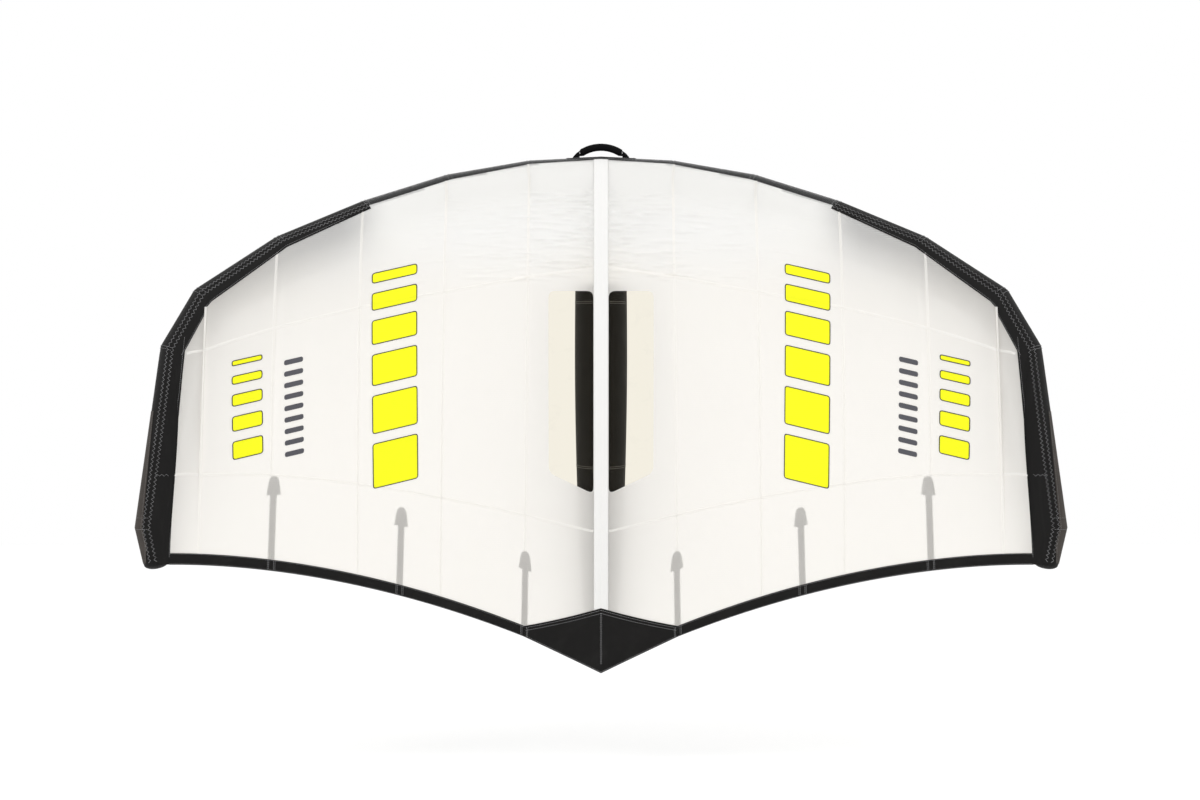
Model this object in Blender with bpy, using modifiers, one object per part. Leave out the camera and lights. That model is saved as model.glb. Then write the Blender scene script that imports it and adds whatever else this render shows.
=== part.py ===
"""Handheld inflatable foil wing, hanging by the handle on its leading edge.

X runs along the span and Z from the tail up to the leading edge. The canopy's upper side
faces -Y, and its strut, handles and valve are on the +Y side. The origin is the hold point,
under the crown of the leading edge handle. All sizes are in metres.
"""
import math
from functools import lru_cache

import bmesh
import bpy
import numpy as np
from mathutils import Matrix, Vector

# Plan of the wing: the chord runs from the front of the tube to the tail
HALF_SPAN_LENGTH = 1.453
CHORD_LENGTH = 1.684
RISE = 0.400
TUBE_RADIUS = 0.100

# Stations along half of the leading edge tube, from the middle to the tip
STATION_X_SHARES = (0, 0.1551, 0.3301, 0.5070, 0.6873, 0.8471, 0.9094, 0.9686, 0.9540)
STATION_Z_SHARES = (0, -0.0058, -0.0315, -0.0794, -0.1440, -0.2341, -0.3244, -0.6471, -0.7134)
STATION_RISE_SHARES = (0, 0.045, 0.17, 0.36, 0.59, 0.82, 0.915, 1, 1)
STATION_RADIUS_SHARES = (1, 0.97, 0.92, 0.85, 0.76, 0.66, 0.60, 0.45, 0.40)
LAST_STATION = 8
SHORT_STEP = 0.01
LEAST_STEP = 0.001
BLACK_TUBE_STATION = 3
TIP_PANEL_STATION = 6

# Where the canopy joins the tube and where it leaves it, in degrees from -Y toward the front
JOINT_ANGLES = (60, 55, 47, 43, 42, 28, 17, 0, 0)
LEAVE_ANGLES = (20, 20, 20, 20, 18, 15, 8, -5, -10)

# Trailing edge, from the tail to the tip
TRAILING_X_SHARES = (0, 0.172, 0.357, 0.536, 0.719, 0.865, 0.924, 0.931, 0.937)
TAIL_STEP_LENGTH = 0.122
TRAILING_SWEEP_LENGTH = 0.258
TRAILING_FLAT_SHARE = 0.943
TRAILING_CURVE_POWER = 1.8
TRAILING_LIFT_SHARE = 1.21
RISE_POWER = 1.6
TIP_DOME_DEPTH = 0.018
CHORDWISE_SHARES = (1, 1, 1, 1, 1, 0.95, 0.76, 0.4, 0)
CANOPY_START_PULL_SHARE = 0.80
CANOPY_END_PULL_SHARE = 0.75
CANOPY_END_DROP_SHARE = 0.17

# Seams of the canopy, as shares of each section from its joint to the trailing edge
FRONT_SEAM_SHARES = (0.219, 0.247, 0.269, 0.273, 0.272, 0.220, 0.056)
REAR_SEAM_SHARES = (0.725, 0.741, 0.743, 0.733, 0.712, 0.670, 0.589)
TAIL_PATCH_APEX_SHARE = 0.871
STRIP_WIDTHS = (0.016, 0.016, 0.016, 0.016, 0.033, 0.052, 0.036)
TRAILING_BAND_WIDTH = 0.036
CENTRE_SEAM_WIDTH = 0.047

# Cloth and gaps
SEAT_GAP = 0.0004
WELD_DISTANCE = 0.00005
WRAP_GAP = 0.0010
UNDER_GAP = 0.0009
SEAM_GAP = 0.0004
CANOPY_THICKNESS = 0.0010
CASING_THICKNESS = 0.0010
BLADDER_THICKNESS = 0.0008
BLADDER_GAP = 0.0016
PATCH_THICKNESS = 0.0010

# Windows beside the strut
WINDOW_INNER_X = 0.0245
WINDOW_OUTER_X = 0.1685
WINDOW_TOP_Z = -0.3435
WINDOW_OUTER_BOTTOM_Z = -0.927
WINDOW_INNER_BOTTOM_Z = -0.996
WINDOW_CORNER_RADIUS = 0.022

# Strut under the middle of the canopy
STRUT_RADIUS = 0.085
STRUT_FRONT_RADIUS = 0.074
STRUT_TAIL_RADIUS = 0.027
STRUT_WIDEST_SHARE = 0.40
STRUT_TAPER_POWER = 1.7
STRUT_START_SHARE = 0.055
STRUT_END_SHARE = 0.984
STRUT_SECTIONS = 13
STRUT_CAP_DEPTH = 0.020
STRUT_BLADDER_START_SHARE = 0.125

# Battens in their pockets, by the station that each one follows
BATTEN_STATIONS = (1.0, 2.5, 4.0)
BATTEN_LENGTHS = (0.270, 0.275, 0.290)
BATTEN_WIDTH = 0.016
BATTEN_THICKNESS = 0.0015
POCKET_WIDTH = 0.022
POCKET_THICKNESS = 0.0008
POCKET_GAP = 0.0009
POCKET_HEAD_WIDTH = 0.046
POCKET_HEAD_LENGTH = 0.062
POCKET_NOSE_SHARE = 0.50
POCKET_SHOULDER_SHARE = 0.85

# Handle on the leading edge
HANDLE_GAP = 0.0196
HANDLE_SLEEVE_RADIUS = 0.0115
HANDLE_SLEEVE_HALF_LENGTH = 0.050
HANDLE_CORE_RADIUS = 0.0050
HANDLE_HALF_SPAN = 0.078
TAB_HALF_WIDTH = 0.008
TAB_WALL = 0.0030
TAB_CLEARANCE = 0.0004
HANDLE_PATCH_MARGIN = 0.030
SLEEVE_END_SHARE = 0.80
HANDLE_ARCH_POWER = 1.3
HANDLE_PATCH_HALF_ANGLE = 16

# Rigid handles on the strut, as shares of the middle section
FRONT_HANDLE_SHARES = (0.235, 0.420)
REAR_HANDLE_SHARES = (0.500, 0.700)
BAR_RADIUS = 0.0125
BAR_STAND_OFF = 0.082
BAR_BEND_RADIUS = 0.040
GRIP_RADIUS = 0.0165
GRIP_CLEARANCE = 0.0004
GRIP_END_MARGIN = 0.012
BASE_LENGTH = 0.084
BASE_WIDTH = 0.052
BASE_HEIGHT = 0.020
BASE_BEVEL = 0.004
SOCKET_DEPTH = 0.012
BOLT_SPACING = 0.058
BOLT_SEAT_RADIUS = 0.0068
BOLT_SEAT_DEPTH = 0.0040
HANDLE_PATCH_MARGIN_SHARE = 0.045
STRUT_PATCH_HALF_ANGLE = 48

# Inflation valve on the underside of the tube
VALVE_STATION = 1.42
VALVE_ANGLE = 180
FLANGE_RADIUS = 0.032
FLANGE_HEIGHT = 0.0030
FLANGE_SKIRT = 0.012
VALVE_BASE_RADIUS = 0.025
VALVE_BASE_HEIGHT = 0.010
VALVE_STEM_LENGTH = 0.012
RIM_EASE = 0.0010
VALVE_BORE_RADIUS = 0.0190
INSERT_RADIUS = 0.0186
INSERT_BORE_RADIUS = 0.0115
INSERT_RIM_RADIUS = 0.0240
INSERT_RIM_HEIGHT = 0.0060
CAP_RADIUS = 0.0205
CAP_HEIGHT = 0.0050
PLUG_RADIUS = 0.0105
PLUG_DEPTH = 0.0040
CAP_HINGE_REACH = 0.0268
KNUCKLE_RADIUS = 0.0024
KNUCKLE_HALF = 0.0040
PIN_RADIUS = 0.0013
EAR_THICKNESS = 0.0026
EAR_DROP = 0.0058
LUG_THICKNESS = 0.0030
FIT_GAP = 0.0004

# Hose that joins the two bladders, with its ports and clip
HOSE_RADIUS = 0.0080
HOSE_STATION = 0.62
HOSE_TUBE_ANGLE = 214
HOSE_STRUT_SHARE = 0.160
HOSE_STRUT_ANGLE = 108
HOSE_PULL = 0.150
PORT_FLANGE_RADIUS = 0.0200
PORT_FLANGE_HEIGHT = 0.0025
PORT_STUB_RADIUS = 0.0098
PORT_STUB_HEIGHT = 0.0120
PORT_SKIRT = 0.006
PORT_HOLE_RADIUS = 0.0050
CLIP_LENGTH = 0.016
CLIP_GAP = 0.0010
CLIP_WALL = 0.0045
LEVER_LENGTH = 0.024
LEVER_WIDTH = 0.014
LEVER_THICKNESS = 0.0030

# Leash loop on the underside of the tube
LEASH_STATION = -0.60
LEASH_ANGLE = 142
RING_WIRE_RADIUS = 0.0025
RING_HALF_WIDTH = 0.016
RING_REACH = 0.026

# Facets
DOME_TURNS = (0, 25, 50, 70, 84)
TUBE_SIDES = 24
BLADDER_SIDES = 10
STRUT_SIDES = 20
WRAP_ROWS = 7
WRAP_ROW_LEAST = 0.003
CUT_OVERRUN = 0.05

HOLD_HEIGHT = TUBE_RADIUS + HANDLE_GAP


def clear_scene():
    for old in list(bpy.data.objects):
        bpy.data.objects.remove(old)


def new_collection(name):
    collection = bpy.data.collections.new(name)
    bpy.context.scene.collection.children.link(collection)
    return collection


clear_scene()
WING = new_collection("foil_wing")
CUTTERS = new_collection("cutters")
FRAME = bpy.data.objects.new("wing_frame", None)
WING.objects.link(FRAME)


def material(name, colour, roughness, metallic=0.0, alpha=1.0):
    made = bpy.data.materials.new(name)
    made.use_nodes = True
    shader = made.node_tree.nodes["Principled BSDF"]
    shader.inputs["Base Color"].default_value = (*colour, 1)
    shader.inputs["Roughness"].default_value = roughness
    shader.inputs["Metallic"].default_value = metallic
    shader.inputs["Alpha"].default_value = alpha
    return made


CREAM = ((0.90, 0.88, 0.82), 0.62)
WHITE = ((0.92, 0.92, 0.90), 0.55)
GREY_CLOTH = ((0.22, 0.22, 0.23), 0.45)
BLACK_CLOTH = ((0.022, 0.021, 0.020), 0.70)
FILM = ((0.75, 0.78, 0.80), 0.35)
CLEAR = ((0.88, 0.90, 0.88), 0.12, 0.0, 0.35)
BATTEN = ((0.55, 0.56, 0.54), 0.50)
BLACK_PLASTIC = ((0.03, 0.03, 0.03), 0.42)
GREY_PLASTIC = ((0.35, 0.36, 0.37), 0.45)
FOAM = ((0.035, 0.035, 0.037), 0.85)
METAL = ((0.10, 0.10, 0.11), 0.35, 0.9)
STEEL = ((0.62, 0.62, 0.63), 0.30, 1.0)
HOSE = ((0.70, 0.71, 0.72), 0.40)


def add(name, mesh, finish=None, parent=FRAME):
    """A node when it has a finish, otherwise a cutter."""
    made = bpy.data.objects.new(name, mesh)
    made.parent = parent
    if finish:
        WING.objects.link(made)
        mesh.materials.append(material(name + "_finish", *finish))
    else:
        CUTTERS.objects.link(made)
        made.hide_render = True
        made.display_type = "WIRE"
    return made


def joint_empty(name, point):
    """An empty on a joint's axis, with the frame's own directions."""
    made = bpy.data.objects.new(name, None)
    made.parent = FRAME
    made.location = point
    WING.objects.link(made)
    return made


def hang(piece, empty):
    """Parents a piece to its joint's empty, where it already is."""
    bpy.context.view_layer.update()
    kept = piece.matrix_world.copy()
    piece.parent = empty
    piece.matrix_parent_inverse = empty.matrix_world.inverted()
    piece.matrix_basis = kept


def solidify(piece, thickness, offset):
    shell = piece.modifiers.new("thickness", "SOLIDIFY")
    shell.thickness = thickness
    shell.offset = offset


def cut(piece, cutter, operation="DIFFERENCE"):
    boolean = piece.modifiers.new(cutter.name, "BOOLEAN")
    boolean.operation = operation
    boolean.object = cutter
    boolean.solver = "EXACT"


def grid_mesh(name, points, closed=False, ends=False, flip=False):
    """A mesh over rows of points; closed joins each row's ends, ends caps the first and last."""
    rows, columns = len(points), len(points[0])
    mesh = bpy.data.meshes.new(name)
    form = bmesh.new()
    verts = [[form.verts.new(point) for point in row] for row in points]
    for row in range(rows - 1):
        for column in range(columns if closed else columns - 1):
            after = (column + 1) % columns
            corners = [verts[row][column], verts[row][after], verts[row + 1][after], verts[row + 1][column]]
            form.faces.new(corners[::-1] if flip else corners)
    if ends:
        form.faces.new(verts[0] if flip else verts[0][::-1])
        form.faces.new(verts[-1][::-1] if flip else verts[-1])
    form.to_mesh(mesh)
    form.free()
    mesh.shade_smooth()
    mesh.set_sharp_from_angle(angle=math.radians(40))
    return mesh


def unit(vector):
    return vector / np.linalg.norm(vector)


class Tube:
    """A tube of mitred rings. Angle 0 looks toward -Y and 90 degrees to the tube's outer side."""

    def __init__(self, centres, radii):
        self.centres = [np.array(centre, float) for centre in centres]
        self.radii = radii
        self.frames = [self.frame(index) for index in range(len(centres))]

    def frame(self, index):
        last = len(self.centres) - 1
        before = unit(self.centres[max(index, 1)] - self.centres[max(index, 1) - 1])
        after = unit(self.centres[min(index, last - 1) + 1] - self.centres[min(index, last - 1)])
        along = unit(before + after)
        top = np.array((0, -1, 0))
        top = unit(top - np.dot(top, along) * along)
        turn = after - before
        stretch = 1 / math.sqrt((1 + np.dot(before, after)) / 2) - 1
        bend = unit(turn) if np.linalg.norm(turn) else top
        return top, np.cross(top, along), bend, stretch

    def ring(self, index, angle, gap):
        top, outer, bend, stretch = self.frames[index]
        spoke = math.cos(math.radians(angle)) * top + math.sin(math.radians(angle)) * outer
        spoke = spoke + stretch * np.dot(spoke, bend) * bend
        return self.centres[index] + (self.radii[index] + gap) * spoke

    def point(self, station, angle, gap=0.0):
        index = min(int(station), len(self.centres) - 2)
        share = station - index
        return (1 - share) * self.ring(index, angle, gap) + share * self.ring(index + 1, angle, gap)

    def rings(self, stations, sides, gap):
        angles = [360 * side / sides for side in range(sides)]
        return [[self.point(station, angle, gap) for angle in angles] for station in stations]

    def seat(self, station, angle, gap):
        """A matrix on the tube's skin: Z points away from it, X along the tube."""
        here = self.point(station, angle, gap)
        step = SHORT_STEP
        ahead = self.point(station + step, angle, gap) - self.point(station - step, angle, gap)
        across = self.point(station, angle + 1, gap) - self.point(station, angle - 1, gap)
        along = unit(ahead)
        away = unit(np.cross(ahead, across))
        side = np.cross(away, along)
        seat = Matrix(np.array((along, side, away)).T.tolist()).to_4x4()
        seat.translation = Vector(here)
        return seat


def make_leading_edge():
    half = list(zip(STATION_X_SHARES, STATION_RISE_SHARES, STATION_Z_SHARES))
    right = [(x * HALF_SPAN_LENGTH, -rise * RISE, z * CHORD_LENGTH) for x, rise, z in half]
    left = [(-x, y, z) for x, y, z in right[:0:-1]]
    radii = [share * TUBE_RADIUS for share in STATION_RADIUS_SHARES]
    return Tube(left + right, radii[:0:-1] + radii)


LEADING_EDGE = make_leading_edge()


def edge_point(station, angle, gap=0.0):
    return LEADING_EDGE.point(station + LAST_STATION, angle, gap)


def at_station(table, station):
    return float(np.interp(station, range(len(table)), table))


def trailing_point(station):
    """The canopy's aft edge: a straight step at the tail, then a sweep that flattens."""
    x = at_station(TRAILING_X_SHARES, station) * HALF_SPAN_LENGTH
    corner = TRAILING_X_SHARES[1] * HALF_SPAN_LENGTH
    flat = TRAILING_FLAT_SHARE * HALF_SPAN_LENGTH
    tail = TUBE_RADIUS - CHORD_LENGTH
    rise = RISE * TRAILING_LIFT_SHARE * (x / HALF_SPAN_LENGTH) ** RISE_POWER
    if x <= corner:
        return np.array((x, -rise, tail + TAIL_STEP_LENGTH * x / corner))
    left_share = (flat - x) / (flat - corner)
    sweep = TRAILING_SWEEP_LENGTH * (1 - left_share ** TRAILING_CURVE_POWER)
    return np.array((x, -rise, tail + TAIL_STEP_LENGTH + sweep))


def leaving_direction(station, leave, start, end):
    """Tangent to the tube where the cloth leaves it: along the chord, or more square to the tube."""
    square = unit(edge_point(station, leave - 1, WRAP_GAP) - start)
    along = unit(edge_point(station, leave, WRAP_GAP) - edge_point(station - SHORT_STEP, leave, WRAP_GAP))
    plan = np.array([(square[0], along[0]), (square[2], along[2])])
    share = at_station(CHORDWISE_SHARES, station)
    if share == 0:
        return square
    weights = np.linalg.solve(plan, (end - start)[[0, 2]])
    chordwise = unit(weights[0] * square + weights[1] * along)
    return unit(share * chordwise + (1 - share) * square)


@lru_cache(maxsize=None)
def section(station):
    """The canopy's underside at a station, as points and their lengths from the joint."""
    joint = at_station(JOINT_ANGLES, station)
    leave = at_station(LEAVE_ANGLES, station)
    points = [edge_point(station, angle, WRAP_GAP) for angle in np.linspace(joint, leave, 2 * WRAP_ROWS + 1)]
    start = points[-1]
    end = trailing_point(station)
    reach = np.linalg.norm(end - start)
    heading = leaving_direction(station, leave, start, end)
    away = unit((end - start) / reach + CANOPY_END_DROP_SHARE * np.array((0, 1, 0)))
    pull, hold = heading * reach * CANOPY_START_PULL_SHARE, away * reach * CANOPY_END_PULL_SHARE
    for u in np.linspace(0, 1, 41)[1:]:
        ease, rest = 3 * u ** 2 - 2 * u ** 3, 1 - 3 * u ** 2 + 2 * u ** 3
        points.append(rest * start + ease * end + u * (1 - u) ** 2 * pull - u ** 2 * (1 - u) * hold)
    points = np.array(points)
    steps = np.linalg.norm(np.diff(points, axis=0), axis=1)
    return points, np.concatenate(([0], np.cumsum(steps)))


@lru_cache(maxsize=None)
def canopy_point(station, share):
    points, lengths = section(abs(station))
    place = [np.interp(share * lengths[-1], lengths, points[:, axis]) for axis in range(3)]
    return np.array((math.copysign(place[0], station), place[1], place[2]))


def canopy_normal(station, share):
    """Out of the canopy's upper side."""
    step = SHORT_STEP
    ahead = canopy_point(station + step, share) - canopy_point(station - step, share)
    back = canopy_point(station, min(share + step, 1)) - canopy_point(station, share - step)
    return unit(np.cross(ahead, back)) * -1


def section_length(station):
    return section(abs(station))[1][-1]


def leave_share(station):
    return section(abs(station))[1][2 * WRAP_ROWS] / section_length(station)


def strip_share(station):
    """Aft edge of the strip that covers the joint; inboard of its start it has no width."""
    return at_station(STRIP_WIDTHS, abs(station)) / section_length(station)


def band_share(station):
    return 1 - TRAILING_BAND_WIDTH / section_length(station)


def front_seam(station):
    return at_station(FRONT_SEAM_SHARES, abs(station))


def rear_seam(station):
    return at_station(REAR_SEAM_SHARES, abs(station))


def tail_patch_share(station):
    return TAIL_PATCH_APEX_SHARE + (band_share(1.0) - TAIL_PATCH_APEX_SHARE) * min(abs(station), 1)


def rows_between(station, low, high, rows, wraps):
    """Shares from low to high; where the cloth wraps the tube, fine rows come first."""
    if not wraps:
        return list(np.linspace(low, high, rows + 1))
    split = max(leave_share(station), low + wraps * WRAP_ROW_LEAST / section_length(station))
    split = min(split, low + (high - low) * wraps / (wraps + rows))
    return list(np.linspace(low, split, wraps + 1)) + list(np.linspace(split, high, rows + 1))[1:]


def sheet_points(stations, shares_at, level):
    """Points on the canopy, one column for each station at the shares that suit it."""
    table = []
    for station in stations:
        shares = shares_at(station)
        column = [canopy_point(station, share) for share in shares]
        if level:
            column = [p + level * canopy_normal(station, s) for p, s in zip(column, shares)]
        table.append(column)
    return table


def spanned(low, high, rows, wraps=0):
    """Shares between two edges that are functions of the station, half a seam gap in from each."""

    def shares_at(station):
        gap = SEAM_GAP / 2 / section_length(station)
        return rows_between(station, low(station) + gap, high(station) - gap, rows, wraps)

    return shares_at


def sheet(name, stations, shares_at, finish, level=0.0, thickness=CANOPY_THICKNESS):
    """A piece of cloth on the canopy. It grows from its level away from the tube."""
    points = sheet_points(stations, shares_at, level)
    made = add(name, grid_mesh(name, points, flip=stations[0] > stations[-1]), finish)
    solidify(made, thickness, 1)
    return made


def stations_between(start, end):
    """Whole and half stations from start to end, both kept in."""
    inner = [half / 2 for half in range(int(start * 2) + 1, int(math.ceil(end * 2)))]
    return [start] + inner + [end]


def seam_step(station):
    """The width of a seam's gap inboard of a station, in stations."""
    inner = max(math.ceil(station) - 1, 0)
    pitches = [abs(table[inner + 1] - table[inner]) for table in (STATION_X_SHARES, TRAILING_X_SHARES)]
    return SEAM_GAP / (min(pitches) * HALF_SPAN_LENGTH)


def panel_stations(start, end, side):
    """The columns of a panel on one side. It stops one seam gap short of its outer end."""
    return [side * station for station in stations_between(start, end - seam_step(end))]


def split_columns(stations, at):
    """The columns with the one at a station doubled, so an edge can step there."""
    made = []
    for station in stations:
        if abs(station) == at:
            made.append(station - math.copysign(seam_step(at), station))
        made.append(station)
    return made


CENTRE_STATION = CENTRE_SEAM_WIDTH / 2 / (STATION_X_SHARES[1] * HALF_SPAN_LENGTH)
SIDES = (("left", -1), ("right", 1))


def start_share(station):
    """Fore edge of the front panels: the joint, or the strip where there is one."""
    return strip_share(station) if abs(station) >= BLACK_TUBE_STATION else 0.0


def aft_share(station):
    """Aft edge of the rear panels: the tail patch, then the trailing edge band."""
    return tail_patch_share(station) if abs(station) < 1 else band_share(station)


def whole(station):
    return 1.0


def none(station):
    return 0.0


def make_window_cutter(name, side, inset):
    """A prism through the canopy with the window's outline, its corners rounded."""
    left, right = WINDOW_INNER_X + inset, WINDOW_OUTER_X - inset
    top = WINDOW_TOP_Z - inset
    corners = [
        (left, top),
        (right, top),
        (right, WINDOW_OUTER_BOTTOM_Z + inset),
        (left, WINDOW_INNER_BOTTOM_Z + inset),
    ]
    outline = rounded([(side * x, z) for x, z in corners], WINDOW_CORNER_RADIUS, 5)
    if side < 0:
        outline = outline[::-1]
    near, far = -RISE, CUT_OVERRUN
    rows = [[(x, y, z) for x, z in outline] for y in (near, far)]
    return add(name, grid_mesh(name, rows, closed=True, ends=True))


def rounded(points, radius, steps, cyclic=True):
    """The points with each corner replaced by a short curve."""
    points = [np.array(point, float) for point in points]
    count = len(points)
    made = []
    for index, point in enumerate(points):
        if not cyclic and index in (0, count - 1):
            made.append(point)
            continue
        before, after = points[index - 1], points[(index + 1) % count]
        start = point + unit(before - point) * radius
        end = point + unit(after - point) * radius
        for u in np.linspace(0, 1, steps + 1):
            made.append((1 - u) ** 2 * start + 2 * u * (1 - u) * point + u ** 2 * end)
    return made


FRONT = spanned(start_share, front_seam, 5, WRAP_ROWS)
MIDDLE = spanned(front_seam, rear_seam, 9)
REAR = spanned(rear_seam, aft_share, 5)
STRIP = spanned(none, strip_share, 4)
BAND = spanned(band_share, whole, 1)


def tip_shares(station):
    """The tip panel's rows meet those of the panels inboard of it."""
    edge = TIP_PANEL_STATION
    return sorted({share for rows in (STRIP, FRONT, MIDDLE, REAR, BAND) for share in rows(edge)})


def make_canopy():
    for word, side in SIDES:
        inner = panel_stations(CENTRE_STATION, TIP_PANEL_STATION, side)
        outer = panel_stations(BLACK_TUBE_STATION + seam_step(BLACK_TUBE_STATION), TIP_PANEL_STATION, side)
        sheet(f"canopy_front_{word}", split_columns(inner, BLACK_TUBE_STATION), FRONT, CREAM)
        middle = sheet(f"canopy_middle_{word}", inner, MIDDLE, CREAM)
        sheet(f"canopy_rear_{word}", inner, REAR, CREAM)
        sheet(f"leading_edge_strip_{word}", outer, STRIP, BLACK_CLOTH)
        band = panel_stations(1, TIP_PANEL_STATION, side)
        sheet(f"trailing_edge_band_{word}", band, BAND, BLACK_CLOTH)
        tip = panel_stations(TIP_PANEL_STATION, LAST_STATION, side)
        sheet(f"tip_panel_{word}", tip, tip_shares, BLACK_CLOTH)
        cut(middle, make_window_cutter(f"window_opening_{word}", side, 0.0))
        window_stations = [side * station for station in (CENTRE_STATION / 2, CENTRE_STATION, 0.5, 1.0)]
        pane = sheet(f"window_{word}", window_stations, MIDDLE, CLEAR)
        cut(pane, make_window_cutter(f"window_pane_{word}", side, SEAM_GAP), "INTERSECT")
    edge = CENTRE_STATION - seam_step(CENTRE_STATION)
    sheet("centre_seam", (-edge, 0.0, edge), spanned(none, tail_patch_share, 18, WRAP_ROWS), WHITE)
    half = [CENTRE_STATION] + panel_stations(0.0, 1, 1)[1:]
    tail = [-station for station in half[::-1]] + [0.0] + half
    sheet("tail_patch", tail, spanned(tail_patch_share, whole, 3), BLACK_CLOTH)


def tube_shell(name, tube, stations, sides, gap, thickness, finish, ends=False):
    """A tube of cloth or film: its skin grows inward from the rings."""
    made = add(name, grid_mesh(name, tube.rings(stations, sides, gap), True, ends, True), finish)
    solidify(made, thickness, -1)
    return made


def edge_stations(start, end):
    """Places on the whole tube, with every mitre between start and end."""
    inner = range(math.ceil(start + LEAST_STEP), math.ceil(end - LEAST_STEP))
    return [station + LAST_STATION for station in [start, *inner, end]]


def make_edge_tube():
    """The casing in three lengths, the outer two closed at the tip, and the bladder inside them."""
    seam = SEAM_GAP / HALF_SPAN_LENGTH * LAST_STATION
    join = BLACK_TUBE_STATION
    middle = tube_shell(
        "leading_edge_casing_middle", LEADING_EDGE, edge_stations(-join, join),
        TUBE_SIDES, 0.0, CASING_THICKNESS, GREY_CLOTH,
    )
    for word, side in SIDES:
        name = f"leading_edge_casing_{word}"
        stations = edge_stations(join + seam, LAST_STATION)
        stations = [LAST_STATION + side * (station - LAST_STATION) for station in stations]
        rings = LEADING_EDGE.rings(stations, TUBE_SIDES, 0.0)
        ends = [LEADING_EDGE.centres[LAST_STATION + side * (LAST_STATION - back)] for back in (0, 1)]
        rings = rings[:-1] + dome_rings(rings[-1], *ends, TIP_DOME_DEPTH, 0.0)
        mesh = grid_mesh(name, rings, True, False, side > 0)
        close_end(mesh)
        solidify(add(name, mesh, BLACK_CLOTH), CASING_THICKNESS, -1)
    inset = -CASING_THICKNESS - BLADDER_GAP
    bladder = tube_shell(
        "leading_edge_bladder", LEADING_EDGE, edge_stations(seam - LAST_STATION, LAST_STATION - seam),
        BLADDER_SIDES, inset, BLADDER_THICKNESS, FILM, ends=True,
    )
    return middle, bladder


def close_end(mesh):
    """Fills the last ring of a tube, the small one at the top of its dome."""
    form = bmesh.new()
    form.from_mesh(mesh)
    form.verts.ensure_lookup_table()
    last = set(form.verts[-TUBE_SIDES:])
    edges = [edge for edge in form.edges if edge.is_boundary and set(edge.verts) <= last]
    bmesh.ops.contextual_create(form, geom=edges)
    bmesh.ops.recalc_face_normals(form, faces=form.faces)
    form.to_mesh(mesh)
    form.free()


def strut_radius(share):
    """Widest before the middle, a little slimmer in front, and drawn in to the tail."""
    if share < STRUT_WIDEST_SHARE:
        away = (STRUT_WIDEST_SHARE - share) / STRUT_WIDEST_SHARE
        return STRUT_RADIUS - (STRUT_RADIUS - STRUT_FRONT_RADIUS) * away ** 2
    away = (share - STRUT_WIDEST_SHARE) / (STRUT_END_SHARE - STRUT_WIDEST_SHARE)
    full = math.sqrt(1 - min(away, 1) ** STRUT_TAPER_POWER)
    return STRUT_TAIL_RADIUS + (STRUT_RADIUS - STRUT_TAIL_RADIUS) * full


STRUT_SHARES = [float(share) for share in np.linspace(STRUT_START_SHARE, STRUT_END_SHARE, STRUT_SECTIONS + 1)]


def make_strut_path():
    """Ring centres that keep the strut's top line just under the canopy's middle line."""
    centres, radii = [], []
    for share in STRUT_SHARES:
        radius = strut_radius(share)
        normal = canopy_normal(0.0, share)
        normal[0] = 0
        centres.append(canopy_point(0.0, share) - unit(normal) * (radius + UNDER_GAP))
        radii.append(radius)
    return Tube(centres, radii)


STRUT = make_strut_path()


def strut_station(share):
    return float(np.interp(share, STRUT_SHARES, range(len(STRUT_SHARES))))


def strut_stations(start, end):
    first, last = strut_station(start), strut_station(end)
    inner = range(math.ceil(first + LEAST_STEP), math.ceil(last - LEAST_STEP))
    return [first, *inner, last]


def make_strut():
    stations = strut_stations(STRUT_START_SHARE, STRUT_END_SHARE)
    casing = tube_shell("strut_casing", STRUT, stations, STRUT_SIDES, 0.0, CASING_THICKNESS, BLACK_CLOTH)
    inner = strut_stations(STRUT_BLADDER_START_SHARE, STRUT_END_SHARE)
    inset = -CASING_THICKNESS - BLADDER_GAP
    bladder = tube_shell(
        "strut_bladder", STRUT, inner, BLADDER_SIDES, inset, BLADDER_THICKNESS, FILM, ends=True
    )
    rim = STRUT.rings([STRUT_SECTIONS], STRUT_SIDES, 0.0)[0]
    rings = dome_rings(rim, STRUT.centres[-1], STRUT.centres[-2], STRUT_CAP_DEPTH, SEAT_GAP)
    add("strut_tail_cap", grid_mesh("strut_tail_cap", rings, True, True, True), BLACK_PLASTIC)
    return casing, bladder


def dome_rings(rim, centre, before, depth, gap):
    """Rings that close a tube's last ring with a shallow dome."""
    along = unit(np.array(centre) - np.array(before))
    rings = []
    for turn in DOME_TURNS:
        out, reach = math.cos(math.radians(turn)), math.sin(math.radians(turn))
        rings.append([centre + (point - centre) * out + along * (reach * depth + gap) for point in rim])
    return rings


def tube_sheet(name, tube, stations, angles, gap, thickness, finish):
    """A patch on a tube's skin, with rows along it and columns around it."""
    points = [[tube.point(station, angle, gap) for angle in angles] for station in stations]
    made = add(name, grid_mesh(name, points, flip=True), finish)
    solidify(made, thickness, 1)
    return made


def turned(name, profile, seat, finish=None, sides=20):
    """A closed profile of (radius, height) points, turned about the seat's Z axis."""
    mesh = bpy.data.meshes.new(name)
    form = bmesh.new()
    verts = [form.verts.new((radius, 0, height)) for radius, height in profile]
    pairs = list(zip(verts, verts[1:]))
    if profile[0][0] > 0:
        pairs.append((verts[-1], verts[0]))
    for pair in pairs:
        form.edges.new(pair)
    form.to_mesh(mesh)
    form.free()
    made = add(name, mesh, finish)
    made.matrix_basis = seat
    screw = made.modifiers.new("turn", "SCREW")
    screw.steps = sides
    screw.render_steps = sides
    screw.use_merge_vertices = True
    screw.merge_threshold = WELD_DISTANCE
    screw.use_smooth_shade = False
    return made


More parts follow.
